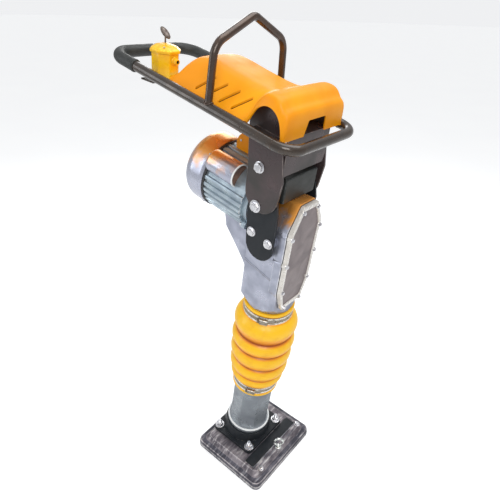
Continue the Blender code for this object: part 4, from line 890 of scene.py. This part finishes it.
def build_case_details():
    """Front flange with bolt bosses, and on each side a cast rib over a dark bar of painted shade."""
    shape = slab(case_outline(0.0022), 0.031, CASE_FACE, 0.0014, None, FACE)
    for y, z in COVER_BOLTS:
        boss = [(0.0, 0.028), (0.005, 0.028), (0.0068, 0.033), (0.0074, CASE_FACE - 0.0008),
                (0.0068, CASE_FACE), (0.0, CASE_FACE)]
        revolve(boss, 28, shape, FACE @ shift(y, z, 0.0), paint=[0, 0, 0, 1, 0])
    piece("case_flange", shape, LEG, "crankcase", "cast_aluminium", sharp=30.0)
    start, end = Vector((-0.056, 0.0, 0.74)), Vector((0.032, 0.0, 0.7205))
    for side, sign in SIDES.items():
        face = Vector((0.0, sign * span("crankcase_cover", LEG)[1].y, 0.0))
        path = [start.lerp(end, step / 8.0) + face for step in range(9)]
        rib = sweep(path, 0.0021, (0.0, 1.0, 0.0), sides=16)
        piece("case_rib_" + side, rib, LEG, "crankcase", "cast_aluminium", sharp=60.0)
        # Painted shade: a dark bar, half sunk just under each rib, draws the shade of a groove there.
        below = [point - Vector((0.0, sign * 0.0004, 0.0032)) for point in path]
        line = sweep(below, 0.0014, (0.0, 1.0, 0.0), sides=12)
        piece("case_rib_shadow_" + side, line, LEG, "crankcase", "forged_steel", sharp=60.0)


def bolt_frame(axes, x, seat, z, sign, spin=0.0):
    """A frame on a side face, Z outwards."""
    outwards = turned(-sign * QUARTER, "X") @ turned(spin)
    return axes @ shift(x, sign * seat, z) @ outwards


def build_plate_bolts():
    for side, sign in SIDES.items():
        low, high = span("lower_plate_" + side, LEG)
        seat = max(abs(low.y), abs(high.y)) + 0.0003
        for which in ("rear", "front"):
            node = f"plate_bolt_{which}_{side}"
            low, high = span(node, LEG)
            at = bolt_frame(LEG, (low.x + high.x) / 2, seat, (low.z + high.z) / 2, sign, 0.3)
            head = bolt(0.009, 0.0056, 0.0122, 0.0014, at)
            piece(node + "_head", head, HERE, "crankcase", "plated_steel", node)
        node = "pivot_bolt_" + side
        at = bolt_frame(PIVOT, 0.0, UPPER_PLATE_FACE, 0.0, sign, 0.15)
        head = bolt(0.0105, 0.0068, 0.0148, 0.002, at)
        piece(node + "_head", head, HERE, "handle", "plated_steel", node)
        at = bolt_frame(PIVOT, -0.003, UPPER_PLATE_FACE, 0.091, sign, 0.35)
        head = bolt(0.01, 0.0066, 0.013, 0.0016, at)
        piece("bracket_bolt_head_" + side, head, HERE, "handle", "plated_steel")


# ---------------------------------------------------------------- motor

CAPACITOR_TURN, CAPACITOR_REACH, CAPACITOR_RADIUS = 41.0, 0.0855, 0.0288
FIN_TIP, FIN_VALLEY, FIN_COUNT = 0.0866, 0.0818, 32
# Half widths of a fin at its crown and at its foot, as shares of the spacing.
FIN_CROWN, FIN_FOOT = 0.26, 0.36


def fin_ring(tip, valley):
    """One cross-section of the finned housing: rounded fins over a round body, bare under the capacitor."""
    shares = (-0.5, -0.4, -FIN_FOOT, -0.25, -FIN_CROWN, -0.12, 0.0, 0.12, FIN_CROWN, 0.25, FIN_FOOT, 0.4)
    points = []
    for fin in range(FIN_COUNT):
        aside = 360.0 * fin / FIN_COUNT - 270.0 - CAPACITOR_TURN
        height = tip if abs(aside) > 24.0 else min(tip, valley + 0.0004)
        for share in shares:
            rise = eased((FIN_FOOT - abs(share)) / (FIN_FOOT - FIN_CROWN))
            crown = 1.0 - 0.1 * min(abs(share) / FIN_CROWN, 1.0) ** 2
            reach = valley + (height - valley) * rise * crown
            turn = 2.0 * pi * (fin + share) / FIN_COUNT
            points.append((reach * cos(turn), reach * sin(turn)))
    return points


def build_motor_housing():
    low, high = span("motor_housing", MOTOR)
    end = high.z - 0.004
    rings = [raised(fin_ring(top, valley), level) for level, valley, top in (
        (low.z, 0.079, 0.08), (low.z, FIN_VALLEY, 0.0845), (low.z + 0.0012, FIN_VALLEY, FIN_TIP),
        (end - 0.0006, FIN_VALLEY, FIN_TIP), (end, FIN_VALLEY, FIN_TIP - 0.0012), (end, 0.077, 0.078))]
    bore = [Vector(point).normalized() * 0.0728 for point in fin_ring(FIN_TIP, 0.08)]
    shape = skin(rings + [raised(bore, end), raised(bore, low.z)], along=True, paint=[0, 1, 0, 1, 0, 0, 0, 0])
    piece("finned_housing", shape, MOTOR, "crankcase", "motor_aluminium", "motor_housing", sharp=28.0)
    piece("seam_ring", turned_ring(0.076, 0.0882, end, high.z + 0.0016), MOTOR, "crankcase", "fan_plastic")


def fan_cover_profile(front, rear, radius, wall):
    """Outer side from the front edge over the shoulder to the grille, inner side back again."""
    bend, shoulder, steps = 0.238, 0.052, 16

    def curve(step, inwards):
        angle = radians(80.0 * step / steps)
        return (shoulder + (radius - inwards - shoulder) * cos(angle),
                bend + (rear - 0.006 - inwards - bend) * sin(angle))

    profile = [(radius - wall, front), (radius - 0.0004, front), (radius, front + 0.0006),
               (radius, front + 0.012), (radius, bend)]
    profile += [curve(step, 0.0) for step in range(1, steps + 1)]
    profile += [(0.0545, rear - 0.0052), (0.053, rear - 0.005), (0.053, rear - 0.005 - wall)]
    return profile + [curve(step, wall) for step in range(steps, -1, -1)]


def build_fan_cover():
    low, high = span("fan_cover", MOTOR)
    radius = high.y
    shape = revolve(fan_cover_profile(low.z, high.z, radius, 0.0022), 96, closed=True)
    piece("fan_cowl", shape, MOTOR, "crankcase", "motor_cover_paint", "fan_cover", sharp=40.0)
    level = high.z - 0.005
    grille = bmesh.new()
    for ring in range(7):
        torus(0.0098 + 0.007 * ring, 0.0011, grille, shift(0.0, 0.0, level), 56, 8)
    revolve([(0.0, level - 0.0014), (0.0062, level - 0.0014), (0.0062, level + 0.001),
             (0.0, level + 0.0016)], 32, grille)
    for spoke in range(6):
        turn = radians(60.0 * spoke)
        ends = [(0.004 * cos(turn), 0.004 * sin(turn), level - 0.0008),
                (0.0545 * cos(turn), 0.0545 * sin(turn), level - 0.0008)]
        sweep(ends, 0.0013, UP, sides=8, shape=grille)
    piece("fan_grille", grille, MOTOR, "crankcase", "motor_cover_paint", sharp=40.0)
    screws = bmesh.new()
    for quarter in range(4):
        turn = turned(radians(45.0 + 90.0 * quarter))
        cap_screw(0.0036, 0.0022, screws, turn @ shift(radius - 0.0002, 0.0, low.z + 0.007)
                  @ turned(QUARTER, "Y"))
    piece("cowl_screws", screws, MOTOR, "crankcase", "plated_steel")


def build_capacitor_cover():
    """A drawn can on the motor's near shoulder, with a rolled rim round a sunk front disc."""
    low, high = span("capacitor_cover", MOTOR)
    angle = radians(CAPACITOR_TURN)
    at = MOTOR @ shift(CAPACITOR_REACH * sin(angle), -CAPACITOR_REACH * cos(angle), 0.0)
    radius = CAPACITOR_RADIUS
    profile = [(0.0, low.z + 0.0035), (radius - 0.0048, low.z + 0.0032), (radius - 0.0034, low.z + 0.001)]
    profile += [(radius - 0.0022, low.z), (radius - 0.0008, low.z + 0.0005), (radius, low.z + 0.002),
                (radius, low.z + 0.003), (radius - 0.0007, low.z + 0.004), (radius - 0.0004, low.z + 0.006)]
    reach = 0.009
    for step in range(9):
        turn = QUARTER * step / 8
        profile.append((radius - 0.0004 - reach * (1.0 - cos(turn)),
                        high.z - reach * (1.0 - sin(turn))))
    profile.append((0.0, high.z + 0.0004))
    # The rolled rim takes the near-white finish as a painted highlight; the sunk disc takes the brown face finish.
    shape = revolve(profile, 72, paint=[2, 2, 3, 3, 3, 3] + [0] * 20)
    can = piece("capacitor_can", shape, at, "crankcase", "motor_cover_paint", "capacitor_cover", sharp=35.0)
    for finish in ("capacitor_face", "highlight_rim"):
        can.data.materials.append(FINISHES[finish][0])


def build_motor_hardware():
    low, high = span("motor_flange", MOTOR)
    heads = bmesh.new()
    for quarter in range(4):
        turn = radians(45.0 + 90.0 * quarter)
        at = MOTOR @ shift(0.084 * cos(turn), 0.084 * sin(turn), high.z)
        bolt(0.0064, 0.005, 0.0082, 0.0012, at, heads)
    piece("flange_bolts", heads, HERE, "crankcase", "plated_steel")
    low, high = span("terminal_box", LEG)
    screws = bmesh.new()
    for sign in SIDES.values():
        face = high.y if sign > 0.0 else -low.y
        for x in (-0.014, 0.014):
            at = bolt_frame(LEG, (low.x + high.x) / 2 + x, face, high.z - 0.02, sign)
            cap_screw(0.003, 0.002, screws, at)
    piece("terminal_screws", screws, HERE, "crankcase", "plated_steel")


# ---------------------------------------------------------------- handle

TUBE_RADIUS = 0.0112
HANDLE_FRONT_CORNER, HANDLE_REAR_CORNER = 0.038, 0.046


def handle_extent():
    low, high = span("handle_tube", HANDLE)
    return low.x + TUBE_RADIUS, high.x - TUBE_RADIUS, high.y - TUBE_RADIUS


def build_handle_tube():
    rear, front, half = handle_extent()
    corners = [(front, -half, 0.0), (front, half, 0.0), (rear, half, 0.0), (rear, -half, 0.0)]
    radii = [HANDLE_FRONT_CORNER] * 2 + [HANDLE_REAR_CORNER] * 2
    path = resampled(rounded(corners, radii, 14), 0.012, closed=True)
    tube = sweep(path, TUBE_RADIUS, UP, closed=True, sides=36)
    piece("handle_frame", tube, HANDLE, "handle", "tube_paint", "handle_tube", sharp=60.0)
    joint_rings = bmesh.new()
    for sign in SIDES.values():
        for x in (0.159, 0.238):
            at = shift(x, sign * half, 0.0) @ turned(QUARTER, "Y")
            torus(TUBE_RADIUS, 0.0007, joint_rings, at, 40, 8)
    piece("tube_weld_rings", joint_rings, HANDLE, "handle", "hoop_paint", sharp=60.0)


def build_grip():
    """Moulded rubber sleeve round the rear of the frame, beaded at both mouths."""
    rear, _, half = handle_extent()
    start = span("grip_sleeve", HANDLE)[1].x
    corners = [(start, half, 0.0), (rear, half, 0.0), (rear, -half, 0.0), (start, -half, 0.0)]
    spacing = 0.002
    path = resampled(rounded(corners, HANDLE_REAR_CORNER, 16, closed=False), spacing)
    length = (len(path) - 1) * spacing

    def reach(share):
        from_end = min(share, 1.0 - share) * length
        bead = 0.0007 * exp(-((from_end - 0.0035) / 0.0022) ** 2)
        mouth = -0.001 * exp(-from_end / 0.0008)
        rib = 0.00022 * sin(share * length / 0.0042 * 2.0 * pi) * (from_end > 0.012)
        return TUBE_RADIUS + 0.0029 + bead + mouth + rib

    sleeve = sweep(path, reach, UP, sides=32)
    piece("rubber_grip", sleeve, HANDLE, "handle", "black_rubber", "grip_sleeve", sharp=60.0)


def build_hoop():
    _, _, half = handle_extent()
    foot_x, lean, wire = 0.062, -0.145, 0.0082

    def at_height(y, z):
        return foot_x + lean * z, y, z

    corners = [at_height(-half, 0.009), at_height(-half + 0.01, 0.116), at_height(0.0, 0.165),
               at_height(half - 0.01, 0.116), at_height(half, 0.009)]
    path = resampled(rounded(corners, [0.0, 0.04, 0.022, 0.04, 0.0], 12, closed=False), 0.01)
    bar = sweep(path, wire, (1.0, 0.0, -lean), sides=32)
    piece("hoop_bar", bar, HANDLE, "handle", "hoop_paint", "lifting_hoop", sharp=60.0)
    beads = bmesh.new()
    for sign in SIDES.values():
        ring = []
        radius = wire + 0.001
        for turn in turns_of(32):
            y = radius * sin(turn)
            drop = sqrt(max(TUBE_RADIUS ** 2 - y * y, 0.0))
            ring.append((foot_x + lean * drop + radius * cos(turn), sign * half + y, drop + 0.0006))
        sweep(ring, lambda share: 0.0019 * (1.0 + 0.16 * sin(share * 90.0)), UP,
              closed=True, sides=10, shape=beads)
    piece("hoop_weld_beads", beads, HANDLE, "handle", "hoop_paint", sharp=60.0)


# ---------------------------------------------------------------- hood

HOOD_HALF_WIDTH, HOOD_EDGE = 0.1088, 0.003
HOOD_WALL = 0.003
# Half of the hood across: share of the half width, and of the crown height at the rear and at the front.
CROSS_SECTION = ((0.0, 1.0, 1.0), (0.23, 0.99, 1.0), (0.46, 0.95, 1.0), (0.63, 0.76, 0.99),
                 (0.8, 0.42, 0.965), (0.95, 0.1, 0.8), (1.0, 0.0, 0.0))


def hood_rows():
    """Rows from the rear tip to the front edge: half width, edge x and z, crown x and z."""
    low, wide = HOOD_EDGE, HOOD_HALF_WIDTH
    rows = [(0.054, -0.114, -0.002, -0.114, 0.002), (0.08, -0.102, 0.0, -0.104, 0.008),
            (0.101, -0.082, 0.001, -0.088, 0.02), (0.107, -0.066, low, -0.072, 0.042),
            (0.1083, -0.046, low, -0.051, 0.059), (wide, -0.022, low, -0.022, 0.0675)]
    crowns = ((0.01, 0.0682), (0.034, 0.0668), (0.058, 0.065), (0.086, 0.0635), (0.12, 0.0622))
    rows += [(wide, x, low, x, crown) for x, crown in crowns]
    rows.append((wide, 0.152, low, 0.15, 0.063))
    arch_x, arch_rise, arch_half, steps = 0.2, 0.052, 0.04, 8
    for step in range(1, steps):
        share = step / steps
        angle = pi * (1.0 - share)
        swell = min(share / 0.4, 1.0)
        crown_z = 0.063 + 0.015 * swell ** 2 - 0.014 * max(share - 0.7, 0.0) / 0.18
        rows.append((wide, arch_x + arch_half * cos(angle), low + arch_rise * sin(angle),
                     0.15 + 0.09 * share, crown_z))
    rows += [(wide, 0.243, 0.004, 0.244, 0.052), (wide, 0.249, 0.003, 0.249, 0.004)]
    return rows


def smooth_rows(rows, steps):
    """Catmull-Rom through the rows, number by number."""
    columns = [smooth_path([(value, 0.0, 0.0) for value in column], steps) for column in zip(*rows)]
    return [tuple(value.x for value in row) for row in zip(*columns)]


def hood_section():
    half = smooth_path(CROSS_SECTION, 5)
    return [Vector((-point.x, point.y, point.z)) for point in reversed(half)] + half[1:]


def hood_point(row, column):
    half_width, edge_x, edge_z, crown_x, crown_z = row
    forward = eased((crown_x - 0.14) / 0.045)
    share = column.y * (1.0 - forward) + column.z * forward
    return Vector((edge_x + (crown_x - edge_x) * share, half_width * column.x,
                   edge_z + (crown_z - edge_z) * share))


def stadium(length, width):
    half, radius = (length - width) / 2, width / 2
    return arc(half, 0.0, radius, -90.0, 90.0, 8) + arc(-half, 0.0, radius, 90.0, 270.0, 8)


def louvre_frames():
    """Frames on the hood's slopes, X along each slot and Z out of the shell."""
    for sign in SIDES.values():
        for slot in range(4):
            turn = turned(-sign * radians(40.0))
            yield shift(0.0145 + 0.035 * slot, sign * 0.0875, 0.031) @ turn


def build_hood():
    """Pressed hood: a smooth crowned sheet with rolled shoulders, cut for louvres, arches and notch."""
    rows = smooth_rows(hood_rows(), 5)
    section = hood_section()
    shape = skin([[hood_point(row, column) for column in section] for row in rows], around=False)
    shape.normal_update()
    if sum(face.normal.z * face.calc_area() for face in shape.faces) < 0.0:
        bmesh.ops.reverse_faces(shape, faces=shape.faces)
    sheet = placed("hood_sheet", to_mesh(shape, "hood_sheet", 60.0, closed=False))
    solidify = sheet.modifiers.new("wall", "SOLIDIFY")
    solidify.thickness, solidify.offset = HOOD_WALL, -1.0
    corners = [(-0.042, -0.01), (0.042, -0.01), (0.031, 0.036), (-0.031, 0.036)]
    notch = rounded(corners, [0.0, 0.0, 0.004, 0.004])
    cutters = [to_mesh(slab(notch, 0.22, 0.28, 0.0001, None, FACE), "notch")]
    for at in louvre_frames():
        cutters.append(to_mesh(slab(stadium(0.041, 0.005), -0.025, 0.025, 0.0001, None, at), "louvre"))
    shell = cut(modified(sheet), cutters)
    shell.shade_smooth()
    shell.set_sharp_from_angle(angle=radians(38.0))
    piece("hood_shell", shell, HANDLE, "handle", "hood_orange", "hood")
    build_louvre_shade_sheets(rows, section)


def build_louvre_shade_sheets(rows, section):
    """A dark sheet of painted shade behind each group of louvres, following the shell just inside it."""
    for side, sign in SIDES.items():
        picked = [row for row in rows if -0.012 < row[1] < 0.146]
        columns = [column for column in section if 0.62 < sign * column.x < 0.98]
        rings = []
        for row in picked:
            outer = [hood_point(row, column) - Vector((0.0, sign * 0.0028, 0.0036)) for column in columns]
            inner = [point - Vector((0.0, 0.0, 0.0008)) for point in reversed(outer)]
            rings.append(outer + inner)
        piece("louvre_shade_sheet_" + side, skin(rings, caps=True), HANDLE, "handle", "louvre_shadow")


# ---------------------------------------------------------------- switch

def octagon(radius, height, corner=0.0035):
    corners = arc(0.0, 0.0, radius, 22.5, 337.5, 7)
    return raised(rounded(corners, corner), height)


def build_switch():
    low, high = span("switch_box", SWITCH)
    radius = 0.033
    levels = [(0.031, low.z), (0.0322, low.z + 0.0006), (0.0326, low.z + 0.002), (radius, high.z)]
    case = skin([octagon(r, z) for r, z in levels], caps=True)
    piece("switch_case", case, SWITCH, "handle", "switch_yellow", "switch_box", sharp=24.0)
    base, top = high.z + 0.0003, span("switch_lid", SWITCH)[1].z
    levels = [(0.0352, base), (0.0366, base + 0.0008), (0.037, base + 0.0022), (0.037, base + 0.0056),
              (0.036, base + 0.007), (0.0335, base + 0.0092), (0.029, base + 0.0122), (0.0235, base + 0.0148),
              (0.017, base + 0.0166), (0.012, top)]
    rings = [octagon(r, z, min(0.0045, r * 0.3)) for r, z in levels]
    cap = skin(rings, caps=True, paint=[0, 1, 0, 1, 1, 0, 0, 0, 0])
    piece("switch_cap", cap, SWITCH, "handle", "switch_yellow", "switch_lid", sharp=20.0)
    collar = revolve([(0.0, top - 0.001), (0.0075, top - 0.001), (0.007, top + 0.001), (0.0045, top + 0.0016),
                      (0.0, top + 0.0016)], 36)
    piece("lever_collar", collar, SWITCH, "handle", "switch_yellow")
    stem = revolve([(0.0, top + 0.0018), (0.0022, top + 0.0018), (0.0019, top + 0.008), (0.0021, top + 0.02),
                    (0.0, top + 0.02)], 24)
    leaf = shift(0.0, 0.0, top + 0.022) @ turned(radians(25.0), "Y")
    rings = []
    for angle in range(-90, 91, 15):
        width, thickness = cos(radians(angle)), sin(radians(angle))
        rings.append([leaf @ Vector((0.019 * width * cos(around), 0.0026 * thickness,
                                     0.0088 * width * sin(around))) for around in turns_of(40)])
    skin(rings, shape=stem)
    piece("switch_leaf", stem, SWITCH, "switch_lever", "lever_metal", "switch_lever", sharp=50.0)
    face = radius * cos(radians(22.5)) + 0.0004
    at = SWITCH @ shift(face, 0.0, 0.02) @ turned(QUARTER, "Y")
    profile = [(0.0, 0.0), (0.0092, 0.0), (0.0092, 0.0024), (0.0084, 0.0032), (0.0068, 0.0034),
               (0.0066, 0.011), (0.0058, 0.0128), (0.004, 0.013), (0.0036, 0.0122), (0.0036, 0.005),
               (0.0, 0.005)]
    boss = revolve(profile, 40, paint=[0] * 8 + [2, 2])
    inlet = piece("inlet_boss", boss, at, "handle", "switch_yellow", "power_inlet")
    inlet.data.materials.append(FINISHES["fan_plastic"][0])
    screws = bmesh.new()
    for turn in (0.0, 90.0, 180.0, 270.0):
        spot = turned(radians(turn + 45.0)) @ shift(0.0262, 0.0, base + 0.0134)
        cap_screw(0.0022, 0.0014, screws, SWITCH @ spot)
    piece("lid_screws", screws, HERE, "handle", "plated_steel")


def build_cable():
    """Motor cable, from the switch box under the hood to a gland on the terminal box."""
    entry = Vector((0.0985, 0.012, -0.069))
    bend = (0.085, 0.012, -0.028)
    corners = [(-0.118, -0.055, -0.013), (-0.07, -0.055, -0.018), (0.02, -0.03, -0.02), bend,
               (entry.x, entry.y, -0.044), tuple(entry)]
    path = resampled(rounded(corners, 0.012, 10, closed=False), 0.003)
    bar = sweep(path, 0.004, (0.0, 1.0, 0.3), sides=20)
    cable = piece("motor_cable", bar, HANDLE, None, "cable_rubber", "power_cable", sharp=60.0)
    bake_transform(cable, "handle", "crankcase", HANDLE @ Vector(bend), HANDLE @ entry)
    gland = turned_ring(0.0041, 0.0075, -0.004, 0.008, 0.001, 40, None, Matrix.Translation(entry))
    piece("cable_gland", gland, HANDLE, "crankcase", "black_rubber")


# ---------------------------------------------------------------- studio

CAMERA_AT = (0.5857, -0.7562, 1.2882)
CAMERA_RIGHT, CAMERA_UP = (0.76111, 0.6482, 0.02343), (-0.33773, 0.36521, 0.8675)
CAMERA_BACK = (0.55376, -0.66818, 0.49688)
CAMERA_LENS = 30.81
LIGHTS_AIM = (0.0, 0.0, 0.75)
LIGHTS = {"key": ((1.6, -1.6, 2.4), (1.3, 1.3), 30.0, (1.0, 0.98, 0.95)),
          "left": ((-1.6, -1.8, 1.6), (0.8, 1.6), 12.0, (0.94, 0.97, 1.0)),
          "top": ((0.3, 0.6, 3.0), (1.8, 1.8), 26.0, (1.0, 1.0, 1.0)),
          "back": ((-1.8, 1.8, 1.8), (1.0, 1.6), 16.0, (1.0, 1.0, 1.0))}
FLOOR_RADIUS, FLOOR_LEVEL = 50.0, -0.0004
# The camera sees the floor a little brighter and the world plainer than the machine's reflections do.
FLOOR_GLOW, WORLD_STRENGTH, BACKDROP = 0.36, 0.74, (1.17, 1.18, 1.2)


def build_camera():
    data = bpy.data.cameras.new("camera")
    data.sensor_width, data.lens = 36.0, CAMERA_LENS
    data.clip_start, data.clip_end = 0.05, 60.0
    camera = placed("camera", data)
    facing = Matrix((CAMERA_RIGHT, CAMERA_UP, CAMERA_BACK)).transposed().to_4x4()
    camera.matrix_world = Matrix.Translation(CAMERA_AT) @ facing
    bpy.context.scene.camera = camera


def build_lights():
    for name, (place, size, power, colour) in LIGHTS.items():
        data = bpy.data.lights.new(name, "AREA")
        data.shape = "RECTANGLE"
        data.size, data.size_y = size
        data.energy, data.color = power, colour
        light = placed(name, data)
        light.location = place
        light.rotation_euler = (Vector(LIGHTS_AIM) - Vector(place)).to_track_quat("-Z", "Y").to_euler()


def build_floor():
    """Plain pale floor."""
    shape = skin([raised(circle(radius, 64), FLOOR_LEVEL) for radius in (0.001, FLOOR_RADIUS)])
    floor = placed("floor", to_mesh(shape, "floor"))
    material, tree, shader = new_finish("floor")
    patches = noise_value(tree, 1.5, 2.0)
    shade = blend_colour(tree, patches, (0.86, 0.87, 0.88), (0.89, 0.9, 0.9))
    connect(tree, shader, shade, spread(tree, patches, 0.3, 0.7, 0.75, 0.85))
    seen = arithmetic(tree, "MULTIPLY", add(tree, "LightPath").outputs["Is Camera Ray"], FLOOR_GLOW)
    tree.links.new(shade, shader.inputs["Emission Color"])
    tree.links.new(seen, shader.inputs["Emission Strength"])
    floor.data.materials.append(material)


def build_world():
    world = bpy.data.worlds.new("studio")
    world.use_nodes = True
    tree = world.node_tree
    place = add(tree, "TexCoord").outputs["Generated"]
    height = add(tree, "SeparateXYZ", {"Vector": place}).outputs["Z"]
    between = [(position, (value, value, value * 1.02))
               for position, value in ((0.24, 0.92), (0.33, 0.62), (0.52, 0.58), (0.72, 0.98))]
    sky = colour_ramp(tree, spread(tree, height, -0.35, 1.0), (0.8, 0.81, 0.83), (1.0, 1.0, 1.0), between)
    seen = add(tree, "LightPath").outputs["Is Camera Ray"]
    shade = blend_colour(tree, seen, sky, BACKDROP)
    background = tree.nodes["Background"]
    tree.links.new(shade, background.inputs["Color"])
    background.inputs["Strength"].default_value = WORLD_STRENGTH
    bpy.context.scene.world = world


# ---------------------------------------------------------------- assembly

dress_cad_nodes()
build_sole()
build_shoe()
build_foot_hardware()
build_leg_casting()
build_bellows()
build_clamp("lower_clamp", "foot")
build_clamp("upper_clamp", "crankcase")
build_spring("lower_spring", 4, "foot", "crankcase")
build_spring("upper_spring", 4, "crankcase", "foot")
build_case_details()
build_cover()
build_plate_bolts()
build_motor_housing()
build_fan_cover()
build_capacitor_cover()
build_motor_hardware()
build_handle_tube()
build_grip()
build_hoop()
build_hood()
build_switch()
build_cable()
build_camera()
build_floor()
build_world()
build_lights()
bpy.context.scene.view_settings.view_transform = "Standard"
